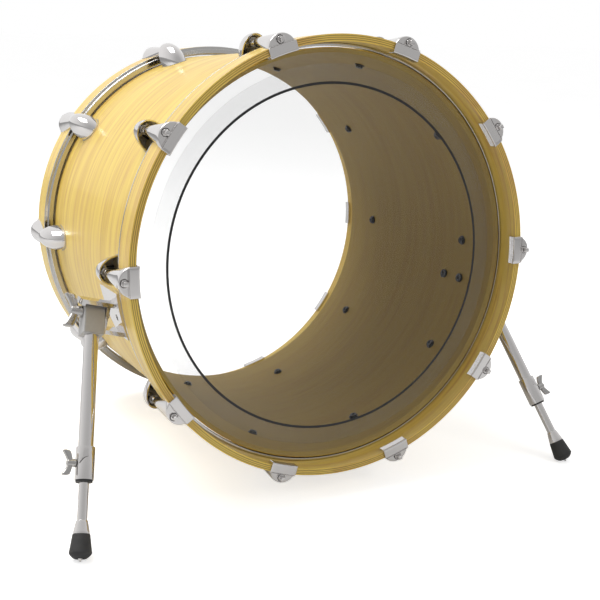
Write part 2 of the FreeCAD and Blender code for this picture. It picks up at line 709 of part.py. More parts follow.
# ---------------------------------------------------------------- spur brackets
below = math.radians(number(pivot_below))
rise = math.radians(number(pivot_rise))
PIVOT_IN_DRUM = V(-math.sin(below) * number(pivot_radius), -math.cos(below) * number(pivot_radius),
                  number(pivot_depth))
PIVOT = DRUM.multiply(frame(PIVOT_IN_DRUM, V(math.sin(rise), -math.cos(rise), 0), V(0, 0, 1)))
lean = math.radians(number(leg_lean))
LEG = PIVOT.multiply(frame(V(), V(1, 0, 0), V(0, math.cos(lean), math.sin(lean))))


def foot_plate(name, inner, outer):
    """Curved trapezoid on the shell between two radii, in the drum frame."""
    sheet = ring(name + "_ring", outer, inner, base_rear_top - base_front_top + 20, base_front_top - 10)
    shape = DOC.addObject("PartDesign::Body", name + "_trapezoid")
    edges = outline(shape, name + "_edges", "YZ_Plane", [
        (-base_height / 2, base_front_low), (-base_height / 2, base_rear_low),
        (base_height / 2, base_rear_top), (base_height / 2, base_front_top),
    ])
    padded(shape, name + "_pad", edges, shell_radius * 1.2)
    middle = 270.0 - (number(base_middle) - 180.0)
    shape.Placement = Place(V(), Turn(V(0, 0, 1), middle))
    return common(name, sheet, shape)


def make_bracket():
    """Left bracket: foot plate, two arms and the cheek that the clamp block turns on."""
    gasket_top = shell_radius + gasket_thick
    plate = foot_plate("bracket_foot", gasket_top, gasket_top + base_thick)
    arm_under = block_depth / 2 + arm_gap
    arm_top = arm_under + arm_thick
    cheek_out = -(block_width / 2 + side_gap)
    cheek_in = cheek_out - cheek_thick
    lip_in = block_width / 2 + side_gap + 0.7
    lip_out = lip_in + arm_reach
    root = -shell_radius * 0.25
    section = DOC.addObject("PartDesign::Body", "bracket_section")
    loop = outline(section, "bracket_loop", "XY_Plane", [
        (root, arm_top), (lip_out, arm_top), (lip_out, arm_top - arm_lip), (lip_in, arm_top - arm_lip),
        (lip_in, arm_under), (cheek_out, arm_under), (cheek_out, -arm_low - arm_thick),
        (root, -arm_low - arm_thick), (root, -arm_low), (cheek_in, -arm_low), (cheek_in, arm_under),
        (root, arm_under),
    ])
    padded(section, "bracket_frame", loop, arm_flare * 4, both_ways=True)
    wedge = DOC.addObject("PartDesign::Body", "bracket_wedge")
    plan = outline(wedge, "bracket_plan", "XZ_Plane", [
        (root, arm_drift - arm_flare), (root, arm_drift + arm_flare),
        (cheek_in, arm_front), (lip_out + 1, arm_front),
        (lip_out + 1, -arm_front), (cheek_in, -arm_front),
    ])
    padded(wedge, "bracket_block", plan, arm_flare * 4, both_ways=True)
    arms = common("bracket_arms", section, wedge)
    DOC.recompute()
    arms.Placement = DRUM.inverse().multiply(PIVOT)
    trim = cylinder("bracket_trim", gasket_top + 0.5, shell_length, (0, 0, head_depth))
    screw_hole = cylinder("bracket_screw_hole", pivot_screw + thread_fit, block_width * 2, (0, 0, 0))
    screw_hole.Placement = DRUM.inverse().multiply(PIVOT).multiply(
        Place(V(-number(block_width) * 1.5, 0, 0), ALONG["X"]))
    holes = [screw_hole]
    for place in anchor_places()[:2]:
        hole = cylinder("anchor_hole", anchor_radius, base_thick)
        hole.Placement = place.multiply(Place(V(number(gasket_top) - 0.1, 0, 0), ALONG["X"]))
        holes.append(hole)
    whole = fuse("bracket_whole", cut("bracket_arms_trimmed", arms, trim), plate)
    return cut("bracket", whole, together("bracket_holes", holes))


def mirrored(label, source):
    """The same piece on the drum's right side."""
    obj = DOC.addObject("Part::Mirroring", label)
    obj.Source = source
    obj.Normal = (1, 0, 0)
    obj.Base = (0, 0, 0)
    DOC.recompute()
    return node(obj, label)


def both_sides(obj, label, place):
    """Put a left-hand piece in the stand frame and add its mirror image."""
    node(obj, "left_" + label, place)
    DOC.recompute()
    mirrored("right_" + label, obj)


def make_brackets():
    both_sides(make_bracket(), "bracket", DRUM)
    gasket_top = shell_radius + gasket_thick
    pad_blank = foot_plate("bracket_pad", shell_radius, gasket_top)
    pad_holes = []
    for place in anchor_places()[:2]:
        hole = cylinder("pad_hole", anchor_radius + hole_clearance, 4 * gasket_thick)
        start = V(number(shell_radius - gasket_thick), 0, 0)
        hole.Placement = place.multiply(Place(start, ALONG["X"]))
        pad_holes.append(hole)
    pad = cut("bracket_gasket", pad_blank, together("pad_holes", pad_holes))
    DOC.recompute()
    other = pad.Shape.mirror(V(), V(0, 1, 0))
    gaskets = DOC.addObject("Part::Feature", "bracket_gasket_pair")
    gaskets.Shape = Part.makeCompound(pad.Shape.Solids + other.Solids)
    node(gaskets, "bracket_gaskets", DRUM)

    seat = shell_radius - shell_wall - 0.1
    head = cylinder("anchor_screw_head", anchor_head, anchor_head_thick,
                    (seat - anchor_head_thick, 0, 0), "X")
    shank = cylinder("anchor_screw_shank", anchor_radius, gasket_top + base_thick - 0.6 - seat,
                     (seat, 0, 0), "X")
    socket = cylinder("anchor_screw_socket", anchor_head / 2, anchor_head_thick / 2,
                      (seat - anchor_head_thick, 0, 0), "X")
    screw = cut("anchor_screw", fuse("anchor_screw_blank", head, shank), socket)
    node(copies("anchor_screw_group", screw, anchor_places()), "bracket_screws", DRUM)


# ---------------------------------------------------------------- legs
def wing_screw(name, radius, length, span, hub_radius):
    """Wing screw along Z: shank below, hub from Z = 0, two raised wings across X."""
    hub_length = span * 0.26
    wings = DOC.addObject("PartDesign::Body", name + "_wings")
    half = span / 2
    shape = outline(wings, name + "_outline", "XZ_Plane", [
        (-half * 0.55, hub_length * 0.55), (-half * 0.8, hub_length * 0.95), (-half, hub_length * 1.15),
        (-half * 0.92, hub_length * 1.75), (-half * 0.55, hub_length * 1.8),
        (-half * 0.3, hub_length * 1.15), (half * 0.3, hub_length * 1.15),
        (half * 0.55, hub_length * 1.8), (half * 0.92, hub_length * 1.75),
        (half, hub_length * 1.15), (half * 0.8, hub_length * 0.95), (half * 0.55, hub_length * 0.55),
    ])
    pad = padded(wings, name + "_pad", shape, wing_thick, both_ways=True)
    rounded(wings, name + "_soft", pad, wing_thick / 5,
            lambda edge: edge.BoundBox.YMax - edge.BoundBox.YMin < 0.01)
    hub = cone(name + "_hub", hub_radius, hub_radius * 0.78, hub_length * 1.3)
    shank = cylinder(name + "_shank", radius, length, (0, 0, -length))
    return fuse(name, hub, shank, wings)


def make_block():
    """Clamp block: rounded round the pivot on top, socket for the tube, bore for the screw."""
    body = DOC.addObject("PartDesign::Body", "block_body")
    half = block_depth / 2
    profile = outline(body, "block_profile", "XY_Plane",
                      [(-block_width / 2, -half), (block_width / 2, -half),
                       (block_width / 2, half), (-block_width / 2, half)], -block_below)
    pad = padded(body, "block_pad", profile, block_below)
    rounded(body, "block_edges", pad, block_round,
            lambda edge: abs(edge.BoundBox.ZMax - edge.BoundBox.ZMin) < 0.01
            and edge.BoundBox.ZMax < -1)
    crown = cylinder("block_crown", half, block_width, (-block_width / 2, 0, 0), "X")
    socket = cylinder("block_socket", tube_radius, block_below, (0, 0, -tube_top - block_below))
    bore = cylinder("block_bore", pivot_screw + slide_fit, block_width * 2, (-block_width, 0, 0), "X")
    return cut("clamp_block", fuse("block_blank", body, crown), together("block_holes", [socket, bore]))


def make_legs():
    both_sides(make_block(), "clamp_block", LEG)

    out_to = block_width / 2 + side_gap
    pivot_length = out_to * 2 + cheek_thick + 4
    place = PIVOT.multiply(frame(V(number(out_to), 0, 0), V(0, math.cos(lean), math.sin(lean)), V(1, 0, 0)))
    both_sides(wing_screw("pivot_wing", pivot_screw, pivot_length, pivot_wings, pivot_screw * 2),
               "pivot_wing_screw", place)

    lock_height = -tube_bottom + collar_length / 2
    lock_reach = collar_radius + 3
    lock_hole = {}
    for piece in ("tube", "collar", "bush"):
        lock_hole[piece] = cylinder(piece + "_lock_hole", lock_screw + slide_fit, lock_reach,
                                    (0, 0, lock_height), "X")

    tube = ring("tube_blank", tube_radius, tube_radius - tube_wall, tube_bottom - tube_top, -tube_bottom)
    both_sides(cut("tube", tube, lock_hole["tube"]), "leg_tube", LEG)

    collar = ring("collar_blank", collar_radius, tube_radius, collar_length, -tube_bottom)
    slot = box("collar_slot", (collar_radius * 2, slot_width, collar_length * 0.4), (0, 0, 0))
    slot_start = V(0, number(collar_radius) * 0.55, number(lock_height) - number(collar_length) * 0.02)
    slot.Placement = Place(slot_start, Turn(V(1, 0, 0), -25))
    holes = together("collar_cuts", [lock_hole["collar"], slot])
    both_sides(cut("collar", collar, holes), "leg_collar", LEG)

    sleeve_radius = tube_radius - tube_wall
    bush_blank = fuse("bush_blank",
                      cylinder("bush_flange", bush_radius, bush_ring, (0, 0, -tube_bottom - bush_ring)),
                      cylinder("bush_tube", sleeve_radius, bush_sleeve, (0, 0, -tube_bottom)))
    bush_bore = cylinder("bush_bore", inner_rod + slide_fit, bush_sleeve * 2,
                         (0, 0, -tube_bottom - bush_ring - 1))
    both_sides(cut("bush", bush_blank, together("bush_cuts", [bush_bore, lock_hole["bush"]])),
               "leg_bush", LEG)

    lock_tip = inner_rod + 0.15
    hub_start = collar_radius + side_gap
    place = LEG.multiply(frame(V(number(hub_start), 0, number(lock_height)), V(0, 0, 1), V(1, 0, 0)))
    both_sides(wing_screw("lock_wing", lock_screw, hub_start - lock_tip, lock_wings, lock_screw * 1.8),
               "lock_wing_screw", place)

    make_feet()


def make_feet():
    """Rod with its spike, and the foot that screws along it; the dome rests on the floor."""
    leg_up = LEG.Rotation.multVec(V(0, 0, 1))
    dome_height = (number(dome_radius) - LEG.Base.z) / leg_up.z
    tip = LEG.multiply(Place(V(0, 0, dome_height - number(dome_centre)), Turn()))

    rod = turned("leg_rod_body", [
        (0, 0), (spike_tip, 0), (inner_rod, spike_length), (inner_rod, inner_length), (0, inner_length),
    ])
    both_sides(rod, "leg_rod", tip)

    bore = inner_rod + slide_fit
    ferrule = turned("ferrule_body", [
        (bore, sleeve_bottom), (ferrule_sleeve, sleeve_bottom), (ferrule_sleeve, rubber_top),
        (ferrule_wide, rubber_top), (ferrule_wide, rubber_top + 3),
        (ferrule_neck, ferrule_top - 2), (ferrule_neck - 0.6, ferrule_top), (bore, ferrule_top),
    ])
    both_sides(ferrule, "foot_ferrule", tip)

    flange = dome_centre - dome_radius * 0.62
    skirt = turned("rubber_body", [
        (rubber_mouth, 0), (rubber_wide, flange), (rubber_wide, flange + 3),
        (rubber_neck, rubber_top), (ferrule_sleeve, rubber_top), (ferrule_sleeve, sleeve_bottom),
        (rubber_mouth, sleeve_bottom),
    ])
    dome = DOC.addObject("Part::Sphere", "rubber_dome")
    bind(dome, "Radius", dome_radius)
    put(dome, (0, 0, dome_centre))
    upper = cylinder("rubber_upper", rubber_wide * 1.5, rubber_top, (0, 0, flange))
    form = fuse("rubber_form", dome, upper)
    both_sides(common("rubber", skirt, form), "rubber_foot", tip)


# ---------------------------------------------------------------- whole drum
def centre_on_origin():
    """Move every piece so that the origin lies on the floor under the drum's middle."""
    box_all = FreeCAD.BoundBox()
    for piece in NODES:
        box_all.add(piece.Shape.BoundBox)
    shift = Place(V(0, -box_all.Center.y, 0), Turn())
    for piece in NODES:
        if piece.TypeId != "Part::Mirroring":
            piece.Placement = shift.multiply(piece.Placement)
    DOC.recompute()
    print("shift along Y %.4f, drum origin height %.4f" % (shift.Base.y, stand_height))
    print("drum frame", shift.multiply(DRUM).Base, "pivot", shift.multiply(PIVOT).Base,
          shift.multiply(PIVOT).Rotation.multVec(V(1, 0, 0)), "leg up", LEG.Rotation.multVec(V(0, 0, 1)))


def check_and_write():
    for obj in DOC.Objects:
        if "Invalid" in obj.State or "Error" in obj.State:
            raise RuntimeError("%s did not build: %s" % (obj.Name, obj.State))
    for piece in NODES:
        if piece.Shape.isNull() or not piece.Shape.isValid() or not piece.Shape.Solids:
            raise RuntimeError("%s has no valid solid" % piece.Label)
    os.makedirs("parts", exist_ok=True)
    for piece in NODES:
        piece.Shape.exportStep("parts/%s.step" % piece.Label)
    print(len(NODES), "pieces written")


make_shell()
make_hoops_and_heads()
make_claws_and_rods()
make_lugs()
make_brackets()
make_legs()
DOC.recompute()
centre_on_origin()
check_and_write()
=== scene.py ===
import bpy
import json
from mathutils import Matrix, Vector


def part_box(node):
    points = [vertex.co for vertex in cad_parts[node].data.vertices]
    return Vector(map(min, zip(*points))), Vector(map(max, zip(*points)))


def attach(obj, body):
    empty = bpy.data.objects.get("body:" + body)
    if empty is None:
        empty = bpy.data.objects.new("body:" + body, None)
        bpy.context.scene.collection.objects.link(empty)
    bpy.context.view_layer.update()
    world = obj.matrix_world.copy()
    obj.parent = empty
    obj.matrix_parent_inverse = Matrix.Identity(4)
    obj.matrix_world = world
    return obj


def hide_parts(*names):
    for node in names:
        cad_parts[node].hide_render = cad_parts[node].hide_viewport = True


bl_info = {
    "name": "Kit Bass Drum",
    "version": (1, 0, 0),
    "blender": (4, 5, 0),
    "location": "View3D > Sidebar > Drum",
    "description": "Finished surfaces of a kit bass drum around its packed frame",
    "category": "Object",
}

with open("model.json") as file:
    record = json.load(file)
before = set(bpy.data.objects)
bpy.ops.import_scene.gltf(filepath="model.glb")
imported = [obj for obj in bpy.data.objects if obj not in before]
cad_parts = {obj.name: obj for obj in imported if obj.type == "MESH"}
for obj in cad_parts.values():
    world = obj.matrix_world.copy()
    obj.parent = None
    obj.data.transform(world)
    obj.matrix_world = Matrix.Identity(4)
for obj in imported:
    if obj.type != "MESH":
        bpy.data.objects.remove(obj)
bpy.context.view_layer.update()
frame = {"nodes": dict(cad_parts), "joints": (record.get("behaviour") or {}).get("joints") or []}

import json
import math

import bmesh
import bpy
from mathutils import Matrix, Vector

JOINTS = {joint["name"]: joint for joint in frame["joints"]}
MM = 0.001
STATIONS = 10

# streaks of the wood and the brushed metal: waves in a metre across, up and along the drum
FINE_STREAKS = (7.0, 7.0, 300.0)
MIDDLE_STREAKS = (4.0, 4.0, 95.0)
BROAD_STREAKS = (2.0, 2.0, 30.0)
BRUSHED = (4.0, 4.0, 1800.0)
STREAK_HEIGHT = 0.4 * MM
MOTTLE_HEIGHT = 0.3 * MM
# dark plies of a hoop: start, end and depth of tone, as shares of the wall from inside to outside
DARK_PLIES = ((0.21, 0.29, 1.0), (0.48, 0.55, 0.9), (0.73, 0.80, 1.0))
# share of the light that a head's films stop
FILM_ALPHA = 0.035
HAZE_ALPHA = 0.085

# small sizes of the heads
EDGE_BEVEL = 4.5 * MM
EDGE_EASE = 1.0 * MM
FILM_THICK = 0.5 * MM
COLLAR_DEPTH = 14.0 * MM
FLESH_WALL = 3.4 * MM
FLESH_SEAT = 5.0 * MM
FLESH_DROP = 11.0 * MM
DAMPER_THICK = 0.3 * MM
PRINT_THICK = 0.1 * MM
PRINT_LIFT = 0.12 * MM

# small sizes of the tension stations
BOSS_SINK = 1.0 * MM
BOSS_BODY = 7.0 * MM
BOSS_FOOT = 7.0 * MM
TIP_RADIUS = 5.0 * MM
HOOK_HEIGHT = 13.5 * MM
HOOK_LIP = 9.0 * MM
HOOK_PLATE = 3.0 * MM
ROD_RADIUS = 3.0 * MM
ROD_SEAT = 3.0 * MM
FLANGE_RADIUS = 4.7 * MM
KEY_SQUARE = 5.8 * MM
KEY_REACH = 9.5 * MM
THREAD_START = 62.0 * MM
THREAD_PITCH = 1.0 * MM
THREAD_DEPTH = 0.45 * MM
LUG_WALL = 2.4 * MM
LUG_MOUTH_LOW = 91.0 * MM
LUG_MOUTH_TOP = 73.0 * MM

# small sizes of the legs, heights in the leg's or the foot's own frame
TUBE_WALL = 1.6 * MM
TUBE_TOP = -13.0 * MM
BLOCK_HALF_WIDTH = 14.0 * MM
BLOCK_HALF_DEPTH = 12.0 * MM
BLOCK_LOW = -30.5 * MM
SPIKE_LENGTH = 12.0 * MM
SPIKE_TIP = 1.0 * MM
LEG_ROD_LENGTH = 250.0 * MM
SLIDE_FIT = 0.08 * MM
SLEEVE_LOW = 20.0 * MM
SLEEVE_RADIUS = 8.6 * MM
FERRULE_WIDE = 10.25 * MM
FERRULE_NECK = 7.6 * MM
FERRULE_TOP = 50.0 * MM
RUBBER_TOP = 33.4 * MM
RUBBER_WIDE = 13.95 * MM
RUBBER_NECK = 10.8 * MM
RUBBER_MOUTH = 6.6 * MM
# wing screws: radius, shank, span, hub radius, thickness, way out from the leg's middle, height on the leg
WINGS = {
    "pivot": (4.0 * MM, 36.8 * MM, 46.0 * MM, 8.0 * MM, 8.0 * MM, 14.3 * MM, 0.0),
    "lock": (3.0 * MM, 5.8 * MM, 32.0 * MM, 5.4 * MM, 6.5 * MM, 12.35 * MM, -199.8 * MM),
}


# ---------------------------------------------------------------- places taken from the frame
def drum_matrix(hoop_depth):
    """Drum frame: origin at the centre of the front hoop's face, X up, Y right, Z to the rear."""
    axis = Vector(JOINTS["front_rod_01_turn"]["axis"]).normalized()
    low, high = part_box("front_hoop")
    face = (low + high) / 2 - axis * hoop_depth / 2
    right = Vector((1, 0, 0))
    up = right.cross(axis).normalized()
    return columns(up, right, axis, face)


def columns(x_axis, y_axis, z_axis, origin):
    """Matrix whose columns are the three axes and the origin."""
    rows = [(x_axis[row], y_axis[row], z_axis[row], origin[row]) for row in range(3)]
    return Matrix((*rows, (0, 0, 0, 1)))


def overall_depth(drum):
    """Face to face depth of the two hoops."""
    low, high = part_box("rear_hoop")
    middle = drum.inverted() @ ((low + high) / 2)
    return middle.z + sizes().hoop_depth / 2


def side_matrix(side):
    """Frame of one end of the drum, its Z always pointing into the drum."""
    drum = drum_matrix(sizes().hoop_depth)
    if side == "front":
        return drum
    return drum @ Matrix.Translation((0, 0, overall_depth(drum))) @ Matrix.Rotation(math.pi, 4, "X")


def rod_angle(name, matrix):
    """Angle of one rod about the drum's axis, from the frame's X."""
    place = matrix.inverted() @ Vector(JOINTS[name + "_turn"]["pos_m"])
    return math.atan2(place.y, place.x)


def leg_matrix(side):
    """Leg frame: origin on the pivot, X outwards, Y forwards, Z up along the leg."""
    fold = JOINTS[side + "_leg_fold"]
    outward = Vector(fold["axis"]).normalized()
    if outward.x * fold["pos_m"][0] < 0:
        outward = -outward
    up = -Vector(JOINTS[side + "_leg_extend"]["axis"]).normalized()
    forward = up.cross(outward)
    if forward.y > 0:
        forward = -forward
    return columns(outward, forward, up, fold["pos_m"])


def foot_drop(side):
    """Distance from the pivot down the leg to the spike's tip; the dome touches the floor."""
    matrix = leg_matrix(side)
    dome = (sizes().dome_radius - matrix[2][3]) / matrix[2][2]
    return -(dome - sizes().dome_centre)


# ---------------------------------------------------------------- sizes and colours
def length(name, default, about):
    return bpy.props.FloatProperty(
        name=name, description=about, default=default, subtype="DISTANCE", unit="LENGTH", precision=5)


def colour(name, default, about):
    return bpy.props.FloatVectorProperty(
        name=name, description=about, default=default, size=4, subtype="COLOR", min=0, max=1)


class DrumSizes(bpy.types.PropertyGroup):
    """Sizes of the drum's pieces, in metres."""
    shell_radius: length("Shell radius", 0.2794, "Outer radius of the shell")
    shell_wall: length("Shell wall", 0.0065, "Thickness of the shell")
    head_depth: length("Head depth", 0.0324, "Hoop face to the end of the shell")
    film_radius: length("Film radius", 0.2810, "Outer radius of a head's collar")
    hoop_radius: length("Hoop radius", 0.2945, "Outer radius of a wood hoop")
    hoop_wall: length("Hoop wall", 0.0095, "Thickness of a wood hoop")
    hoop_depth: length("Hoop depth", 0.042, "Depth of a wood hoop")
    print_radius: length("Printed ring", 0.233, "Inner radius of the printed ring")
    print_width: length("Printed ring width", 0.0034, "Width of the printed ring")
    damper_radius: length("Damper radius", 0.259, "Outer radius of the damping ring")
    rod_circle: length("Rod circle", 0.300, "Radius of the circle of key rods")
    rod_end: length("Rod end", 0.098, "Hoop face to the end of a rod")
    claw_width: length("Claw width", 0.0394, "Width of a claw's hook")
    claw_length: length("Claw length", 0.067, "Hoop face to a claw's tip")
    boss_height: length("Boss height", 0.013, "Height of a claw's boss above the hoop")
    lug_height: length("Lug height", 0.0316, "Height of a lug above the shell")
    lug_width: length("Lug width", 0.040, "Width of a lug")
    lug_centre: length("Lug centre", 0.080, "Hoop face to a lug's fullest section")
    lug_tail: length("Lug tail", 0.042, "Fullest section to the lug's closed end")
    tube_radius: length("Leg tube radius", 0.009525, "Outer radius of the leg tube")
    tube_bottom: length("Leg tube bottom", 0.2206, "Pivot to the bottom of the leg tube")
    inner_rod: length("Leg rod radius", 0.00635, "Radius of the leg rod")
    dome_radius: length("Dome radius", 0.016, "Radius of the rubber foot's domed end")
    dome_centre: length("Dome centre", 0.018, "Spike's tip to the centre of the dome")


class DrumColours(bpy.types.PropertyGroup):
    """Base colours of the drum's finishes."""
    maple: colour("Maple", (0.68, 0.44, 0.080, 1), "Lacquered outside of the shell and hoops")
    maple_pale: colour("Pale maple", (0.86, 0.63, 0.135, 1), "Pale streaks of the wood")
    maple_pink: colour("Pink maple", (0.60, 0.32, 0.10, 1), "Pinkish bands of the wood")
    # Tone of the bare wood inside, darker than the wood alone as painted shade; it also paints shade on the
    # shell's bearing edges and end faces.
    inside: colour("Shell inside", (0.30, 0.215, 0.075, 1), "Bare wood inside the shell and on its bearing edges, darkened as painted shade")
    ply_dark: colour("Ply line", (0.22, 0.13, 0.04, 1), "Dark plies on a hoop's edge")
    chrome: colour("Chrome", (0.74, 0.72, 0.71, 1), "Polished chrome")
    dull_chrome: colour("Dull chrome", (0.50, 0.49, 0.48, 1), "Wing screws")
    aluminium: colour("Aluminium", (0.52, 0.51, 0.49, 1), "Flesh hoops")
    film: colour("Film", (0.20, 0.21, 0.22, 1), "Clear films of the heads")
    gasket: colour("Gasket sheet", (0.50, 0.44, 0.31, 1), "Gaskets under lugs and brackets")
    rubber: colour("Rubber", (0.018, 0.018, 0.018, 1), "Rubber feet and gaskets")
    satin: colour("Satin plating", (0.46, 0.45, 0.44, 1), "Clamp blocks of the legs")
    casting: colour("Raw casting", (0.58, 0.55, 0.50, 1), "Unpolished inside of a lug")
    steel: colour("Zinc steel", (0.30, 0.29, 0.28, 1), "Screws, washers and nuts")
    black_steel: colour("Blackened steel", (0.045, 0.045, 0.05, 1), "Screws inside the shell")
    paint: colour("Printed ring", (0.008, 0.008, 0.009, 1), "Black ring printed on the front head")


def sizes():
    return bpy.context.scene.drum_sizes


def colours():
    return bpy.context.scene.drum_colours


# ---------------------------------------------------------------- materials
class Finish:
    """Short way to write one material's node tree."""

    def __init__(self, name):
        self.material = bpy.data.materials.new(name)
        self.material.use_nodes = True
        self.tree = self.material.node_tree
        self.shader = self.tree.nodes["Principled BSDF"]

    def set(self, **values):
        for name, value in values.items():
            self.shader.inputs[name.replace("_", " ")].default_value = value
        return self

    def node(self, kind, links=None, **settings):
        made = self.tree.nodes.new(kind)
        for name, value in settings.items():
            setattr(made, name, value)
        for name, value in (links or {}).items():
            socket = made.inputs[name]
            if isinstance(value, bpy.types.NodeSocket):
                self.tree.links.new(value, socket)
            else:
                socket.default_value = value
        return made

    def math(self, operation, first, second=0.0):
        return self.node("ShaderNodeMath", {0: first, 1: second}, operation=operation).outputs[0]

    def mix(self, factor, first, second):
        mixed = self.node("ShaderNodeMix", data_type="RGBA")
        for index, value in ((0, factor), (6, first), (7, second)):
            if isinstance(value, bpy.types.NodeSocket):
                self.tree.links.new(value, mixed.inputs[index])
            else:
                mixed.inputs[index].default_value = value
        return mixed.outputs[2]

    def ramp(self, factor, stops):
        made = self.node("ShaderNodeValToRGB", {0: factor})
        band = made.color_ramp
        while len(band.elements) < len(stops):
            band.elements.new(0.5)
        for element, (position, shade) in zip(band.elements, stops):
            element.position = position
            element.color = shade if len(shade) == 4 else (*shade, 1)
        return made.outputs[0]

    def noise(self, vector, scale, detail=4.0, rough=0.55):
        links = {"Vector": vector, "Scale": scale, "Detail": detail, "Roughness": rough}
        return self.node("ShaderNodeTexNoise", links).outputs[0]

    def place(self, matrix):
        """Object coordinates seen from a frame of the drum."""
        here = self.node("ShaderNodeTexCoord").outputs["Object"]
        there = self.node("ShaderNodeMapping", {"Vector": here}, vector_type="TEXTURE")
        there.inputs["Location"].default_value = matrix.to_translation()
        there.inputs["Rotation"].default_value = matrix.to_euler()
        return there.outputs[0]

    def stretch(self, place, scale):
        """Coordinates stretched along the drum's axes, so that a noise becomes streaks."""
        stretched = self.node("ShaderNodeMapping", {"Vector": place}, vector_type="POINT")
        stretched.inputs["Scale"].default_value = scale
        return stretched.outputs[0]

    def between(self, value, low, high):
        """A noise value brought into a range."""
        return self.node("ShaderNodeMapRange", {"Value": value, "To Min": low, "To Max": high}).outputs[0]

    def bump(self, height, strength, distance):
        links = {"Height": height, "Strength": strength, "Distance": distance}
        bumped = self.node("ShaderNodeBump", links)
        self.tree.links.new(bumped.outputs[0], self.shader.inputs["Normal"])
        return self

    def wire(self, output, name):
        self.tree.links.new(output, self.shader.inputs[name])
        return self


def radius_of(finish, place):
    """Distance from the drum's axis of a point in the drum frame."""
    parts = finish.node("ShaderNodeSeparateXYZ", {0: place})
    square = finish.math("ADD", finish.math("MULTIPLY", parts.outputs[0], parts.outputs[0]),
                         finish.math("MULTIPLY", parts.outputs[1], parts.outputs[1]))
    return finish.math("SQRT", square)


def grey(level):
    return (level, level, level, 1)


def grain(finish, place):
    """Streaks of veneer that run round the drum: their colour and their height."""
    tones = colours()
    fine = finish.noise(finish.stretch(place, FINE_STREAKS), 1.0, 5.0, 0.62)
    middle = finish.noise(finish.stretch(place, MIDDLE_STREAKS), 1.0, 3.0, 0.55)
    broad = finish.noise(finish.stretch(place, BROAD_STREAKS), 1.0, 3.0, 0.5)
    base = finish.ramp(broad, [(0.34, tones.maple), (0.52, tones.maple_pale), (0.68, tones.maple)])
    bands = finish.ramp(middle, [(0.50, grey(0)), (0.57, grey(0.75)), (0.66, grey(0))])
    banded = finish.mix(bands, base, tones.maple_pink)
    pale = finish.ramp(fine, [(0.38, grey(0)), (0.62, grey(0.6))])
    streaked = finish.mix(pale, banded, tones.maple_pale)
    lines = finish.ramp(fine, [(0.26, grey(0.5)), (0.36, grey(0))])
    return finish.mix(lines, streaked, tones.maple_pink), fine


def wood_finish(name, drum, gloss, bumps):
    """A maple finish, with its colour and streaks still to be wired."""
    made = Finish(name).set(Roughness=gloss, Specular_IOR_Level=0.35)
    place = made.place(drum)
    colour_now, streaks = grain(made, place)
    made.bump(streaks, bumps, STREAK_HEIGHT)
    return made, place, colour_now


def mottled(name, drum, scale, first, second, gloss, bumps=0.0, **values):
    """Finish with a fine mottle in its colour, its gloss and its surface."""
    made = Finish(name).set(**values)
    mottle = made.noise(made.place(drum), scale, 4.0)
    made.wire(made.mix(mottle, first, second), "Base Color")
    made.wire(made.between(mottle, *gloss), "Roughness")
    if bumps:
        made.bump(mottle, bumps, MOTTLE_HEIGHT)
    return made.material


def make_woods(drum):
    """Lacquered shell, bare inside of the shell darkened partly as painted shade, and hoops with their
    plies.
    """
    size, tones = sizes(), colours()
    shell, _, wood = wood_finish("shell_maple", drum, 0.38, 0.05)
    shell.set(Coat_Weight=0.14, Coat_Roughness=0.08).wire(wood, "Base Color")

    # Bare inside: the grain mixed 80 % towards the dark inside tone, partly the bare wood's own tone and
    # partly painted shade; the shell's bearing edges and end faces take it as painted shade too.
    bare_wood_painted_shade, _, wood = wood_finish("bare_shell_inside_painted_shade", drum, 0.55, 0.08)
    bare_wood_painted_shade.wire(bare_wood_painted_shade.mix(0.80, wood, tones.inside), "Base Color")

    hoop, place, wood = wood_finish("hoop_maple", drum, 0.34, 0.05)
    hoop.set(Coat_Weight=0.18, Coat_Roughness=0.08)
    across = hoop.node("ShaderNodeMapRange", {
        "Value": radius_of(hoop, place), "From Min": size.hoop_radius - size.hoop_wall,
        "From Max": size.hoop_radius,
    }).outputs[0]
    stops = [(0.0, grey(0))]
    for start, end, depth in DARK_PLIES:
        stops += [(start - 0.04, grey(0)), (start, grey(depth)), (end, grey(depth)), (end + 0.04, grey(0))]
    plies = hoop.math("MULTIPLY", hoop.ramp(across, stops), 0.8)
    hoop.wire(hoop.mix(plies, wood, tones.ply_dark), "Base Color")
    return {"shell": shell.material, "bare_wood_painted_shade": bare_wood_painted_shade.material, "hoop": hoop.material}


def make_metals(drum):
    """Polished, satin and raw metals."""
    tones = colours()
    made = {}
    for key, name, tone, gloss in (("chrome", "polished_chrome", tones.chrome, (0.05, 0.12)),
                                   ("dull", "dull_chrome", tones.dull_chrome, (0.20, 0.28))):
        chrome = Finish(name).set(Base_Color=tone, Metallic=1.0)
        near = chrome.place(drum)
        chrome.wire(chrome.between(chrome.noise(near, 60.0, 4.0, 0.6), *gloss), "Roughness")
        made[key] = chrome.bump(chrome.noise(near, 35.0, 2.0), 0.03, 2 * STREAK_HEIGHT).material

    metal = Finish("extruded_aluminium").set(Metallic=1.0, Roughness=0.14)
    lines = metal.noise(metal.stretch(metal.place(drum), BRUSHED), 1.0, 2.0)
    metal.wire(metal.mix(lines, tones.aluminium, (0.72, 0.71, 0.69, 1)), "Base Color")
    made["aluminium"] = metal.bump(lines, 0.08, 0.0002).material

    made["satin"] = mottled("satin_plating", drum, 260.0, tones.satin, (0.52, 0.51, 0.50, 1),
                            (0.38, 0.46), 0.04, Metallic=0.15)
    made["cast"] = mottled("raw_casting", drum, 180.0, tones.casting, (0.68, 0.65, 0.60, 1),
                           (0.46, 0.54), 0.15, Metallic=0.1)
    made["steel"] = mottled("zinc_steel", drum, 250.0, tones.steel, (0.42, 0.41, 0.40, 1),
                            (0.28, 0.50), Metallic=1.0)
    made["black"] = mottled("blackened_steel", drum, 300.0, tones.black_steel, (0.09, 0.09, 0.09, 1),
                            (0.30, 0.45), Metallic=0.8)
    return made


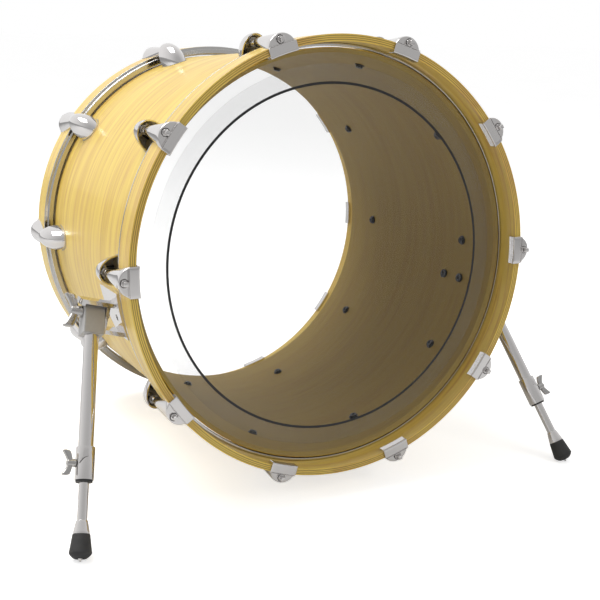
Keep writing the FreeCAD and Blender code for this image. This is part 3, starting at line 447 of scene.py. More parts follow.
def make_plastics(drum):
    """Head films, the printed ring, rubber and gasket sheet."""
    tones = colours()
    made = {}
    for key, name, clear in (("film", "clear_head_film", FILM_ALPHA),
                             ("haze", "hazy_damping_film", HAZE_ALPHA)):
        film = Finish(name).set(Roughness=0.08, Alpha=clear, IOR=1.45)
        cloud = film.noise(film.place(drum), 9.0, 3.0)
        film.wire(film.mix(cloud, tones.film, (0.26, 0.27, 0.28, 1)), "Base Color")
        made[key] = film.material
    made["print"] = mottled("printed_black", drum, 300.0, tones.paint, (0.02, 0.02, 0.022, 1), (0.32, 0.38))
    made["gasket"] = mottled("gasket_sheet", drum, 90.0, tones.gasket, (0.42, 0.36, 0.25, 1), (0.45, 0.6))
    rubber = Finish("moulded_rubber").set(Roughness=0.62)
    near = rubber.place(drum)
    rubber.wire(rubber.mix(rubber.noise(near, 90.0), tones.rubber, (0.045, 0.044, 0.043, 1)), "Base Color")
    made["rubber"] = rubber.bump(rubber.noise(near, 1400.0, 3.0), 0.25, 0.0003).material
    return made


def make_finishes():
    """Every material of the drum, by name."""
    drum = drum_matrix(sizes().hoop_depth)
    return {**make_woods(drum), **make_metals(drum), **make_plastics(drum)}


FINISHES = {}


def finish(key):
    if not FINISHES:
        FINISHES.update(make_finishes())
    return FINISHES[key]


# ---------------------------------------------------------------- mesh helpers
def new_piece(name, mesh, material, matrix, body, replaces=()):
    """Put a finished mesh in its frame and hand it over to the drum."""
    mesh.transform(matrix)
    if matrix.determinant() < 0:
        mesh.flip_normals()
    piece = bpy.data.objects.new(name, mesh)
    bpy.context.scene.collection.objects.link(piece)
    if not mesh.materials:
        mesh.materials.append(material)
    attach(piece, body)
    if replaces:
        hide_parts(*replaces)
    return piece


def smooth_by_angle(mesh, degrees=32, flat_area=None):
    """Smooth shading with creases where two faces meet sharply; large faces stay flat."""
    work = bmesh.new()
    work.from_mesh(mesh)
    for face in work.faces:
        face.smooth = flat_area is None or face.calc_area() < flat_area
    limit = math.radians(degrees)
    for edge in work.edges:
        edge.smooth = len(edge.link_faces) == 2 and edge.calc_face_angle(0) < limit
    work.to_mesh(mesh)
    work.free()
    return mesh


def mesh_from(name, work, degrees=32, flat_area=None):
    mesh = bpy.data.meshes.new(name)
    work.to_mesh(mesh)
    work.free()
    return smooth_by_angle(mesh, degrees, flat_area)


def add_loops(work, loops, closed=True, wrap=False):
    """Skin rings of equally many points; a one-point ring closes to a pole."""
    rings = [[work.verts.new(point) for point in loop] for loop in loops]
    if wrap:
        rings.append(rings[0])
    for ring, following in zip(rings, rings[1:]):
        count = max(len(ring), len(following))
        for index in range(count if closed else count - 1):
            after = (index + 1) % count
            corners = [ring[index % len(ring)], ring[after % len(ring)],
                       following[after % len(following)], following[index % len(following)]]
            distinct = []
            for corner in corners:
                if corner not in distinct:
                    distinct.append(corner)
            work.faces.new(distinct)
    return rings


def circle(radius, height, count, centre=(0, 0)):
    return [Vector((centre[0] + radius * math.cos(2 * math.pi * index / count),
                    centre[1] + radius * math.sin(2 * math.pi * index / count), height))
            for index in range(count)]


def softened(profile, reach=0.0004):
    """Ease every corner of a closed profile, with a support point on each side of the round."""
    points = []
    count = len(profile)
    for index, entry in enumerate(profile):
        keep = entry[2] if len(entry) > 2 else 1.0
        corner = Vector(entry[:2])
        if keep == 0 or corner.x == 0:
            points.append(corner)
            continue
        before = Vector(profile[index - 1][:2]) - corner
        after = Vector(profile[(index + 1) % count][:2]) - corner
        near = min(reach * keep, before.length * 0.3, after.length * 0.3)
        start, end = before.normalized() * near, after.normalized() * near
        points.append(corner + start * 1.3)
        for step in (0.0, 0.25, 0.5, 0.75, 1.0):
            points.append(corner + start * (1 - step) ** 2 + end * step ** 2)
        points.append(corner + end * 1.3)
    return points


def turned(name, profile, segments=192, reach=0.0004, degrees=32):
    """Closed solid of revolution about Z from a closed profile of (radius, height)."""
    work = bmesh.new()
    loops = []
    for point in softened(profile, reach):
        if point.x <= 1e-9:
            loops.append([Vector((0, 0, point.y))])
        else:
            loops.append(circle(point.x, point.y, segments))
    touches_axis = any(len(loop) == 1 for loop in loops)
    while touches_axis and len(loops[0]) != 1:
        loops.append(loops.pop(0))
    add_loops(work, loops, wrap=not touches_axis)
    bmesh.ops.remove_doubles(work, verts=work.verts, dist=1e-7)
    bmesh.ops.recalc_face_normals(work, faces=work.faces)
    return mesh_from(name, work, degrees)


def add_box(work, low, high, bevel, matrix=Matrix()):
    middle = (Vector(low) + Vector(high)) / 2
    spans = Vector(high) - Vector(low)
    made = bmesh.ops.create_cube(work, size=1.0, matrix=Matrix.Translation(middle) @ Matrix.Diagonal(
        (*spans, 1)))
    edges = list({edge for vert in made["verts"] for edge in vert.link_edges})
    bevelled = bmesh.ops.bevel(work, geom=edges, offset=bevel, segments=3, profile=0.5, affect="EDGES")
    verts = {vert for face in bevelled["faces"] for vert in face.verts} | set(
        vert for vert in made["verts"] if vert.is_valid)
    bmesh.ops.transform(work, matrix=matrix, verts=list(verts))


def station_ring(name, mesh, material, inner_material, count, first_angle):
    """Copies of a mesh turned about Z at even stations, made by a node tree and applied."""
    tree = bpy.data.node_groups.new(name + "_stations", "GeometryNodeTree")
    tree.interface.new_socket("Geometry", in_out="INPUT", socket_type="NodeSocketGeometry")
    amount = tree.interface.new_socket("Count", in_out="INPUT", socket_type="NodeSocketInt")
    start = tree.interface.new_socket("First angle", in_out="INPUT", socket_type="NodeSocketFloat")
    tree.interface.new_socket("Geometry", in_out="OUTPUT", socket_type="NodeSocketGeometry")
    nodes, link = tree.nodes, tree.links.new
    entry, leave = nodes.new("NodeGroupInput"), nodes.new("NodeGroupOutput")
    line, spread = nodes.new("GeometryNodeMeshLine"), nodes.new("GeometryNodeInstanceOnPoints")
    line.inputs["Offset"].default_value = (0, 0, 0)
    link(entry.outputs["Count"], line.inputs["Count"])
    index = nodes.new("GeometryNodeInputIndex")
    step, turn, total = (nodes.new("ShaderNodeMath") for _ in range(3))
    step.operation, turn.operation, total.operation = "DIVIDE", "MULTIPLY", "ADD"
    step.inputs[0].default_value = 2 * math.pi
    link(entry.outputs["Count"], step.inputs[1])
    link(index.outputs[0], turn.inputs[0])
    link(step.outputs[0], turn.inputs[1])
    link(turn.outputs[0], total.inputs[0])
    link(entry.outputs["First angle"], total.inputs[1])
    angles = nodes.new("ShaderNodeCombineXYZ")
    link(total.outputs[0], angles.inputs[2])
    rotation = nodes.new("FunctionNodeEulerToRotation")
    link(angles.outputs[0], rotation.inputs[0])
    link(line.outputs[0], spread.inputs["Points"])
    link(entry.outputs["Geometry"], spread.inputs["Instance"])
    link(rotation.outputs[0], spread.inputs["Rotation"])
    real, inside = nodes.new("GeometryNodeRealizeInstances"), nodes.new("GeometryNodeInputNamedAttribute")
    inside.inputs["Name"].default_value = "inside"
    paint, inner_paint = (nodes.new("GeometryNodeSetMaterial") for _ in range(2))
    paint.inputs["Material"].default_value = material
    inner_paint.inputs["Material"].default_value = inner_material
    link(spread.outputs[0], real.inputs[0])
    link(real.outputs[0], paint.inputs[0])
    link(paint.outputs[0], inner_paint.inputs[0])
    link(inside.outputs[0], inner_paint.inputs["Selection"])
    link(inner_paint.outputs[0], leave.inputs[0])

    holder = bpy.data.objects.new(name + "_pattern", mesh)
    bpy.context.scene.collection.objects.link(holder)
    modifier = holder.modifiers.new("stations", "NODES")
    modifier.node_group = tree
    modifier[amount.identifier] = count
    modifier[start.identifier] = first_angle
    seen = holder.evaluated_get(bpy.context.evaluated_depsgraph_get())
    result = bpy.data.meshes.new_from_object(seen)
    holder.modifiers.remove(modifier)
    bpy.data.objects.remove(holder)
    result.name = name
    return result


# ---------------------------------------------------------------- shell, hoops and heads
def make_shell():
    """Shell with bearing edges: lacquered outside; bare inside, whose darker tone also covers the bearing
    edges and end faces as painted shade.
    """
    size = sizes()
    drum = side_matrix("front")
    near = size.head_depth
    far = overall_depth(drum) - near
    outer, inner = size.shell_radius, size.shell_radius - size.shell_wall
    mesh = turned("maple_shell", [
        (inner, near + EDGE_BEVEL), (inner + EDGE_BEVEL, near), (outer - EDGE_EASE, near),
        (outer, near + EDGE_EASE), (outer, far - EDGE_EASE), (outer - EDGE_EASE, far),
        (inner + EDGE_BEVEL, far), (inner, far - EDGE_BEVEL),
    ], 256)
    mesh.materials.append(finish("shell"))
    mesh.materials.append(finish("bare_wood_painted_shade"))
    # Faces off the outer wall, the bearing edges and end faces among them, take the darker inside finish:
    # painted shade on the edges.
    outside = outer - 1.2 * EDGE_EASE
    for polygon in mesh.polygons:
        polygon.material_index = 0 if polygon.center.to_2d().length > outside else 1
    new_piece("maple_shell", mesh, finish("shell"), drum, "drum", ["shell"])


def make_hoops():
    """Wood hoops with a fine groove at each dark ply of their front edge."""
    size = sizes()
    inner, outer, depth = size.hoop_radius - size.hoop_wall, size.hoop_radius, size.hoop_depth
    groove, half_groove = 0.12 * MM, 0.45 * MM
    for side in ("front", "rear"):
        face = [(inner, 0, 2.2)]
        for start, end, _ in DARK_PLIES:
            middle = inner + size.hoop_wall * (start + end) / 2
            face += [(middle - half_groove, 0, 0), (middle, groove, 0), (middle + half_groove, 0, 0)]
        face += [(outer, 0, 6.2), (outer, depth, 6.2), (inner, depth, 1.5)]
        mesh = turned(side + "_maple_hoop", face, 256, degrees=40)
        new_piece(side + "_maple_hoop", mesh, finish("hoop"), side_matrix(side), "drum",
                  [side + "_hoop"])


def make_heads():
    """Both heads, and what is laminated and printed on the front one."""
    for side in ("front", "rear"):
        make_film(side)
        make_flesh_ring(side)
    make_front_print()


def make_film(side):
    """Clear film that turns down into its collar."""
    size = sizes()
    front, back = size.head_depth - FILM_THICK, size.head_depth
    outer, inner, end = size.film_radius, size.film_radius - FILM_THICK, back + COLLAR_DEPTH
    bend = 3.0 * MM
    film = turned(side + "_film", [
        (0, front), (outer - bend, front, 1), (outer, back + 2.2 * MM, 2), (outer, end), (inner, end),
        (inner, back + 2.4 * MM, 2), (outer - bend - 0.2 * MM, back, 1), (0, back),
    ], 256)
    new_piece(side + "_clear_film", film, finish("film"), side_matrix(side), "drum",
              [side + "_head_film"])


def make_flesh_ring(side):
    """Aluminium flesh hoop: collar round the film, flange behind the wood hoop, outer ring."""
    size = sizes()
    collar, top = size.film_radius, size.head_depth + 0.6 * MM
    lip, foot, end = size.hoop_depth, size.hoop_depth + FLESH_DROP, size.head_depth + COLLAR_DEPTH
    ledge = size.hoop_radius - size.hoop_wall + FLESH_SEAT
    flange = size.hoop_radius - 0.2 * MM
    relief, bead = collar + 2.0 * MM, 0.5 * MM
    ring = turned(side + "_flesh", [
        (collar, top, 2), (collar + FLESH_WALL, top, 2), (collar + FLESH_WALL, lip, 0),
        (flange, lip, 0.5), (flange, lip + 3.0 * MM, 1.2), (ledge, lip + 3.4 * MM, 1),
        (ledge, lip + 4.2 * MM), (ledge - bead, lip + 4.7 * MM), (ledge - bead, foot - 3.0 * MM),
        (ledge, foot - 2.5 * MM), (ledge, foot, 2.5), (relief, foot, 1), (relief, end), (collar, end),
    ], 256)
    new_piece(side + "_flesh_ring", ring, finish("aluminium"), side_matrix(side), "drum",
              [side + "_flesh_hoop"])


def make_front_print():
    """Damping ring under the front film, and the black ring printed on the film."""
    size = sizes()
    matrix, depth, start = side_matrix("front"), size.head_depth, size.print_radius
    ring = turned("damper", [
        (start, depth), (size.damper_radius, depth),
        (size.damper_radius, depth + DAMPER_THICK), (start, depth + DAMPER_THICK),
    ], 256, reach=0.05 * MM)
    new_piece("damping_ring", ring, finish("haze"), matrix, "drum",
              ["front_damping_ring"])
    back = depth - FILM_THICK - PRINT_LIFT + PRINT_THICK
    front, end = back - PRINT_THICK, start + size.print_width
    mark = turned("printed", [(start, front), (end, front), (end, back), (start, back)], 256,
                  reach=0.02 * MM)
    new_piece("printed_ring", mark, finish("print"), matrix, "drum")


# ---------------------------------------------------------------- claws and rods
def hump(foot, top, half_width, height, shrink, count, hub):
    """Flat-bottomed round section seen from the rod, with its corners eased."""
    rise = top - foot
    radius = (half_width * half_width + rise * rise) / (2 * rise)
    centre = top - radius
    loop = []
    for index in range(count):
        angle = 2 * math.pi * index / count
        across, up = math.sin(angle), math.cos(angle)
        offset = hub - centre
        reach = -offset * up + math.sqrt((radius - shrink) ** 2 - (offset * across) ** 2)
        if up < -0.02:
            flat = (foot + shrink - hub) / up
            reach = (reach ** -9 + flat ** -9) ** (-1 / 9)
        loop.append(Vector((hub + reach * up, reach * across, height)))
    return loop


def round_at(hub, radius, height, count):
    """Circle about the rod's own axis, or its middle point alone where the radius is 0."""
    if radius == 0:
        return [Vector((hub, 0, height))]
    return circle(radius, height, count, (hub, 0))


def claw_mesh():
    """One claw in its station frame: X radial, Y along the hoop, Z into the drum."""
    size = sizes()
    work = bmesh.new()
    count = 64
    hub, foot = size.rod_circle, size.hoop_radius - BOSS_FOOT
    top, half = size.hoop_radius + size.boss_height, size.claw_width / 2
    # recess round the rod's head, from its floor to its eased rim
    recess = ((0.0, 3.2), (3.4, 3.2), (4.9, 3.2), (5.2, 3.0), (5.3, 2.6), (5.3, -0.3), (5.45, -0.75),
              (5.9, -1.0), (6.1, -1.0))
    loops = [round_at(hub, radius * MM, height * MM, count) for radius, height in recess]
    # eased front edge of the boss: how far in and how far back
    for shrink, height in ((1.8, 0.0), (1.5, 0.0), (1.1, 0.06), (0.55, 0.3), (0.18, 0.75), (0.0, 1.5),
                           (0.0, 7.0)):
        loops.append(hump(foot, top, half, height * MM - BOSS_SINK, shrink * MM, count, hub))
    start = BOSS_BODY - BOSS_SINK
    steps = 12
    for step in range(1, steps + 1):
        share = step / steps
        ease = share ** 0.92
        height = start + (size.claw_length - start) * share
        loops.append(hump(foot + (hub - TIP_RADIUS - foot) * ease, top + (hub + TIP_RADIUS - top) * ease,
                          half + (TIP_RADIUS - half) * ease, height, 0.0, count, hub))
    # rounded tip and the start of the rod's bore
    for radius, lift in ((4.6, 0.5), (3.9, 0.6), (3.5, 0.3), (3.4, -3.0), (0.0, -3.0)):
        loops.append(round_at(hub, radius * MM, size.claw_length + lift * MM, count))
    add_loops(work, loops)
    add_hook(work)
    bmesh.ops.recalc_face_normals(work, faces=work.faces)
    return mesh_from("claw", work, 38)


def add_hook(work):
    """Front plate and lip of a claw, bent to the hoop, with two ridges across the plate."""
    size = sizes()
    outer, inner = size.hoop_radius, size.hoop_radius - size.hoop_wall
    low, gap = outer - HOOK_HEIGHT, 0.1 * MM
    profile = softened([
        (low, HOOK_LIP, 1.5), (low, -HOOK_PLATE, 4), (outer, -HOOK_PLATE, 1.6), (outer, -gap, 1),
        (inner - gap, -gap, 0.5), (inner - gap, HOOK_LIP, 1.5),
    ], 0.45 * MM)
    half = size.claw_width / 2
    middle, mid_height = (low + outer) / 2, (HOOK_LIP - HOOK_PLATE) / 2
    steps, margin = 10, 0.7 * MM
    ends = [(-half, 0.90), (-half + 0.05 * MM, 0.95), (-half + 0.25 * MM, 0.985)]
    plain = [(-half + margin + 2 * (half - margin) * step / steps, 1.0) for step in range(steps + 1)]
    loops = []
    for across, keep in ends + plain + [(-across, keep) for across, keep in ends[::-1]]:
        loop = []
        for point in profile:
            radius = middle + (point.x - middle) * keep
            height = mid_height + (point.y - mid_height) * keep
            angle = across / radius
            loop.append(Vector((radius * math.cos(angle), radius * math.sin(angle), height)))
        loops.append(loop)
    rings = add_loops(work, loops)
    work.faces.new(rings[0])
    work.faces.new(rings[-1])
    half_ridge, lift, inset = 0.3 * MM, 0.35 * MM, 1.2 * MM
    for ridge in (outer - 0.9 * MM, outer + 0.5 * MM):
        add_box(work, (ridge - half_ridge, inset - half, -HOOK_PLATE - lift),
                (ridge + half_ridge, half - inset, -0.6 * MM), half_ridge / 2)


def make_station_set(side, kind, mesh):
    """Ten claws or lugs of one side as one piece."""
    matrix = side_matrix(side)
    name = "%s_%s_set" % (side, kind)
    first = rod_angle(side + "_rod_01", matrix)
    repeated = station_ring(name, mesh, finish("chrome"), finish("cast"), STATIONS, first)
    new_piece(name, repeated, finish("chrome"), matrix, "drum", ["%s_%ss" % (side, kind)])


def make_claws():
    """The claws of both hoops."""
    for side in ("front", "rear"):
        make_station_set(side, "claw", claw_mesh())


def rod_mesh(name, angle):
    """Key rod: square head, flange, plain shank and threaded end."""
    size = sizes()
    height = THREAD_START
    profile = [
        (0, -2 * MM), (FLANGE_RADIUS - 0.2 * MM, -2 * MM, 1.5), (FLANGE_RADIUS, ROD_SEAT - 0.1 * MM, 1),
        (ROD_RADIUS, ROD_SEAT - 0.05 * MM, 0), (ROD_RADIUS, height, 0),
    ]
    while height < size.rod_end - 2 * THREAD_PITCH:
        profile.append((ROD_RADIUS - THREAD_DEPTH, height + THREAD_PITCH / 2, 0))
        height += THREAD_PITCH
        profile.append((ROD_RADIUS, height, 0))
    profile += [(ROD_RADIUS - 0.5 * MM, size.rod_end, 0), (0, size.rod_end)]
    mesh = turned(name, profile, 32)
    work = bmesh.new()
    work.from_mesh(mesh)
    half = KEY_SQUARE / 2
    add_box(work, (-half, -half, -KEY_REACH), (half, half, -1.0 * MM), 0.6 * MM)
    turn = Matrix.Rotation(angle, 4, "Z") @ Matrix.Translation((size.rod_circle, 0, 0))
    bmesh.ops.transform(work, matrix=turn, verts=work.verts)
    work.to_mesh(mesh)
    work.free()
    return smooth_by_angle(mesh, 30)


def make_rods():
    """Twenty key rods, each on its own body."""
    for side in ("front", "rear"):
        matrix = side_matrix(side)
        for index in range(STATIONS):
            name = "%s_rod_%02d" % (side, index + 1)
            mesh = rod_mesh(name + "_key", rod_angle(name, matrix))
            new_piece(name + "_key", mesh, finish("chrome"), matrix, name, [name])


# ---------------------------------------------------------------- lugs
def lug_mesh():
    """One hollow lug in its station frame, with a rolled rim round its slanted mouth."""
    size = sizes()
    work = bmesh.new()
    shell, low, top = size.shell_radius, LUG_MOUTH_LOW, LUG_MOUTH_TOP
    around, along = 40, 18

    def surface(turn, share, wall):
        height, width, tail = size.lug_height - wall, size.lug_width / 2 - wall, size.lug_tail - wall
        rise, across = math.cos(turn), math.sin(turn)
        mouth = low
        for _ in range(12):
            full = math.sqrt(max(0, 1 - ((mouth - size.lug_centre) / tail) ** 2))
            mouth = low - (low - top) * height * full * rise / size.lug_height
        depth = mouth + (size.lug_centre + tail - mouth) * math.sin(share * math.pi / 2)
        full = math.sqrt(max(0, 1 - ((depth - size.lug_centre) / tail) ** 2))
        return Vector((shell + height * full * rise, width * full * across, depth))

    spread = math.radians(93)
    turns = [-spread + 2 * spread * index / around for index in range(around + 1)]
    rows = [[surface(turn, step / along, LUG_WALL) for turn in turns] for step in range(along, -1, -1)]
    slant = Vector((-(low - top), 0, -size.lug_height)).normalized() * 0.45 * MM
    outer_mouth = [surface(turn, 0, 0) for turn in turns]
    inner_mouth = rows[-1]
    for share in (0.2, 0.5, 0.8):
        lift = math.sin(share * math.pi)
        rows.append([start.lerp(end, share) + slant * lift for start, end in zip(inner_mouth, outer_mouth)])
    rows += [[surface(turn, step / along, 0) for turn in turns] for step in range(0, along + 1)]
    add_loops(work, rows, closed=False)
    inside = work.faces.layers.float.new("inside")
    for face in list(work.faces)[:along * around]:
        face[inside] = 1.0
    bmesh.ops.remove_doubles(work, verts=work.verts, dist=2e-6)
    bmesh.ops.holes_fill(work, edges=[edge for edge in work.edges if edge.is_boundary], sides=0)
    bmesh.ops.recalc_face_normals(work, faces=work.faces)
    return mesh_from("lug", work, 50)


def make_lugs():
    """The lugs of both sides."""
    for side in ("front", "rear"):
        make_station_set(side, "lug", lug_mesh())


# ---------------------------------------------------------------- legs
def wing_mesh(name, radius, shank, span, hub_radius, thick):
    """Wing screw in its own frame: Z out along the screw, wings along X."""
    hub, half = span * 0.26, span / 2
    profile = [(0, -shank), (radius - 0.4 * MM, -shank, 0), (radius, -shank + 0.5 * MM, 0),
               (radius, 0, 0), (hub_radius, 0, 1.5), (hub_radius * 0.78, hub * 1.3, 3), (0, hub * 1.3)]
    mesh = turned(name, profile, 48)
    work = bmesh.new()
    work.from_mesh(mesh)
    for way in (-1, 1):
        leaf_loops(work, way, half, hub, thick)
    bmesh.ops.recalc_face_normals(work, faces=work.faces)
    work.to_mesh(mesh)
    work.free()
    return smooth_by_angle(mesh, 40)


def leaf_loops(work, way, half, hub, thick):
    """One leaf of a wing screw: narrow at the hub, then widening and turned outwards."""
    loops, around, steps = [], 24, 14
    for step in range(steps + 1):
        share = step / steps
        x = half * (0.12 + 0.88 * math.sin(share * math.pi / 2))
        run = x / half
        middle = hub * (0.80 + 0.72 * run ** 1.6)
        tip = max(0.0, (run - 0.9) / 0.1)
        edge = max(0.0, (run - 0.93) / 0.08)
        high = hub * (0.34 + 0.28 * run) * math.sqrt(max(0.0, 1 - tip ** 2))
        deep = thick / 2 * math.sqrt(max(0.04, 1 - edge ** 2))
        high = max(high, 0.25 * MM)
        loop = []
        for index in range(around):
            angle = 2 * math.pi * index / around
            across, up = math.cos(angle), math.sin(angle)
            square = (abs(across) ** 4 + abs(up) ** 4) ** -0.25
            loop.append(Vector((way * x, deep * across * square, middle + high * up * square)))
        loops.append(loop)
    rings = add_loops(work, loops)
    work.faces.new(rings[0])
    work.faces.new(rings[-1])


def make_legs():
    """Both legs with their feet and wing screws."""
    for side in ("left", "right"):
        make_upper_leg(side)
        make_foot(side)
        make_wings(side)


def make_upper_leg(side):
    """Tube, collar and clamp block, which fold together."""
    size, leg, body = sizes(), leg_matrix(side), side + "_leg"
    outer, inner, low = size.tube_radius, size.tube_radius - TUBE_WALL, -size.tube_bottom
    tube = turned(side + "_tube", [(inner, low), (outer, low), (outer, TUBE_TOP), (inner, TUBE_TOP)], 64)
    new_piece(side + "_chrome_tube", tube, finish("chrome"), leg, body,
              [side + "_leg_tube"])
    new_piece(side + "_collar", eased_copy(side + "_leg_collar", 0.35 * MM), finish("chrome"), Matrix(),
              body, [side + "_leg_collar"])
    new_piece(side + "_block", block_mesh(side + "_block"), finish("satin"), leg, body,
              [side + "_clamp_block"])


def make_foot(side):
    """Spiked rod, ferrule and rubber, in a frame with the spike's tip at its origin."""
    size = sizes()
    tip = leg_matrix(side) @ Matrix.Translation((0, 0, -foot_drop(side)))
    rod = turned(side + "_rod", [
        (0, 0), (SPIKE_TIP, 0, 0.5), (size.inner_rod, SPIKE_LENGTH, 1), (size.inner_rod, LEG_ROD_LENGTH),
        (0, LEG_ROD_LENGTH),
    ], 64)
    new_piece(side + "_spiked_rod", rod, finish("chrome"), tip, side + "_inner_leg",
              [side + "_leg_rod"])
    bore, body = size.inner_rod + SLIDE_FIT, side + "_foot"
    ferrule = turned(side + "_ferrule", [
        (bore, SLEEVE_LOW), (SLEEVE_RADIUS, SLEEVE_LOW), (SLEEVE_RADIUS, RUBBER_TOP),
        (FERRULE_WIDE, RUBBER_TOP, 1), (FERRULE_WIDE, RUBBER_TOP + 2.6 * MM, 2),
        (FERRULE_NECK, FERRULE_TOP - 2 * MM, 2), (FERRULE_NECK - 0.6 * MM, FERRULE_TOP, 1),
        (bore, FERRULE_TOP, 0.5),
    ], 64)
    new_piece(side + "_ferrule", ferrule, finish("chrome"), tip, body,
              [side + "_foot_ferrule"])
    new_piece(side + "_rubber", rubber_mesh(side + "_rubber"), finish("rubber"), tip, body,
              [side + "_rubber_foot"])


def make_wings(side):
    """Wing screws of the pivot and of the collar."""
    leg = leg_matrix(side)
    for kind, (radius, shank, span, hub_radius, thick, out, height) in WINGS.items():
        place = columns(leg.col[2].to_3d(), leg.col[1].to_3d(), leg.col[0].to_3d(),
                        leg @ Vector((out, 0, height)))
        name = "%s_%s_wing" % (side, kind)
        mesh = wing_mesh(name + "s", radius, shank, span, hub_radius, thick)
        new_piece(name + "s", mesh, finish("dull"), place, name, [name + "_screw"])


def block_mesh(name):
    """Clamp block with a rounded crown over the pivot."""
    work = bmesh.new()
    half_width, half_depth, low = BLOCK_HALF_WIDTH, BLOCK_HALF_DEPTH, BLOCK_LOW
    steps = 16
    turns = [math.pi * step / steps for step in range(1, steps)]
    outline = [(half_depth, low), (half_depth, 0)]
    outline += [(half_depth * math.cos(turn), half_depth * math.sin(turn)) for turn in turns]
    outline += [(-half_depth, 0), (-half_depth, low)]
    loops = []
    for shrink, across in ((1.2, -1.0), (0.45, -0.97), (0.0, -0.9), (0.0, 0.9), (0.45, 0.97), (1.2, 1.0)):
        loop = []
        for y, z in outline:
            pull_y = 1 - shrink * MM / half_depth
            middle = low / 2 + half_depth / 2
            pull_z = 1 - shrink * MM / (half_depth - middle)
            loop.append(Vector((half_width * across, y * pull_y, middle + (z - middle) * pull_z)))
        loops.append(loop)
    rings = add_loops(work, loops)
    work.faces.new(rings[0])
    work.faces.new(rings[-1])
    bmesh.ops.recalc_face_normals(work, faces=work.faces)
    sharp = [edge for edge in work.edges
             if edge.calc_face_angle(0) > math.radians(60) and abs(edge.verts[0].co.z - low) < 2 * MM]
    bmesh.ops.bevel(work, geom=sharp, offset=0.8 * MM, segments=2, profile=0.5, affect="EDGES")
    return mesh_from(name, work, 35, flat_area=40 * MM * MM)


def rubber_mesh(name):
    """Rubber tip: domed end round the spike's mouth, then an even taper up to the neck."""
    size = sizes()
    first, last = (math.acos(radius / size.dome_radius) for radius in (RUBBER_MOUTH, RUBBER_WIDE))
    profile = []
    steps = 10
    for step in range(steps + 1):
        angle = -first + (first - last) * step / steps
        profile.append((size.dome_radius * math.cos(angle),
                        size.dome_centre + size.dome_radius * math.sin(angle), 0 if step else 1))
    profile += [(RUBBER_WIDE, 11.6 * MM, 2), (RUBBER_NECK, RUBBER_TOP, 2), (SLEEVE_RADIUS, RUBBER_TOP),
                (SLEEVE_RADIUS, SLEEVE_LOW), (RUBBER_MOUTH, SLEEVE_LOW)]
    return turned(name, profile, 72)


# ---------------------------------------------------------------- carried-over nodes
CARRIED = {
    "black": ["lug_screws", "lug_screw_washers", "bracket_screws"],
    "steel": ["swivel_nuts", "rod_washers"],
    "rubber": ["left_leg_bush", "right_leg_bush"],
    "gasket": ["lug_gaskets", "bracket_gaskets"],
}


def eased_copy(node_name, width):
    """Merged copy of a node's mesh with its sharp edges rounded."""
    work = bmesh.new()
    work.from_mesh(frame["nodes"][node_name].data)
    bmesh.ops.remove_doubles(work, verts=work.verts, dist=1e-6)
    bmesh.ops.dissolve_limit(work, angle_limit=math.radians(2), verts=work.verts, edges=work.edges)
    sharp = [edge for edge in work.edges if edge.is_manifold and edge.calc_face_angle(0) > math.radians(38)]
    bmesh.ops.bevel(work, geom=sharp, offset=width, segments=3, profile=0.5, affect="EDGES",
                    clamp_overlap=True)
    return mesh_from(node_name + "_eased", work, 38, flat_area=60 * MM * MM)


def make_brackets():
    """Spur brackets with eased edges."""
    for side in ("left", "right"):
        node = side + "_bracket"
        new_piece(side + "_spur_bracket", eased_copy(node, 0.7 * MM), finish("chrome"), Matrix(), "drum",
                  [node])


def dress_nodes():
    """Give every node of the frame that stays in sight its finish."""
    for key, names in CARRIED.items():
        for name in names:
            node = frame["nodes"][name]
            node.data.materials.clear()
            node.data.materials.append(finish(key))


# ---------------------------------------------------------------- stage
def make_floor():
    """Wide pale floor that the camera sees a little brighter than its light makes it."""
    reach, drop, glow = 30.0, 0.3 * MM, 0.80
    floor = bpy.data.meshes.new("floor")
    ways = ((-1, -1), (1, -1), (1, 1), (-1, 1))
    corners = [(reach * x, reach * y, -drop) for x, y in ways]
    floor.from_pydata(corners, [], [(0, 1, 2, 3)])
    plane = bpy.data.objects.new("floor", floor)
    bpy.context.scene.collection.objects.link(plane)
    pale = Finish("pale_floor").set(Roughness=0.9, Specular_IOR_Level=0.05)
    tint = pale.mix(pale.noise(pale.place(Matrix()), 2.0), (0.78, 0.78, 0.78, 1), (0.82, 0.82, 0.82, 1))
    seen = pale.node("ShaderNodeLightPath").outputs["Is Camera Ray"]
    pale.wire(tint, "Base Color").wire(tint, "Emission Color")
    pale.wire(pale.math("MULTIPLY", seen, glow), "Emission Strength")
    floor.materials.append(pale.material)


def make_world():
    """White studio: full to the camera, graded for what chrome mirrors and for soft light."""
    world = bpy.data.worlds.new("studio")
    world.use_nodes = True
    tree = world.node_tree
    back = tree.nodes["Background"]
    back.inputs["Color"].default_value = (1, 1, 1, 1)
    rays = tree.nodes.new("ShaderNodeLightPath")
    where = tree.nodes.new("ShaderNodeTexCoord")
    split = tree.nodes.new("ShaderNodeSeparateXYZ")
    tree.links.new(where.outputs["Generated"], split.inputs[0])

    def graded(axis, start, end, low, high):
        ramp = tree.nodes.new("ShaderNodeMapRange")
        for name, value in (("From Min", start), ("From Max", end), ("To Min", low), ("To Max", high)):
            ramp.inputs[name].default_value = value
        tree.links.new(split.outputs[axis], ramp.inputs["Value"])
        return ramp.outputs[0]

    mirrored_light = graded("Y", -0.8, 0.8, 0.50, 0.95)
    soft_light = graded("Z", 0.0, 1.0, 0.14, 0.58)
    mirrored, choose = tree.nodes.new("ShaderNodeMix"), tree.nodes.new("ShaderNodeMix")
    tree.links.new(rays.outputs["Is Glossy Ray"], mirrored.inputs[0])
    tree.links.new(soft_light, mirrored.inputs[2])
    tree.links.new(mirrored_light, mirrored.inputs[3])
    tree.links.new(rays.outputs["Is Camera Ray"], choose.inputs[0])
    tree.links.new(mirrored.outputs[0], choose.inputs[2])
    choose.inputs[3].default_value = 1.0
    tree.links.new(choose.outputs[0], back.inputs["Strength"])
    bpy.context.scene.world = world


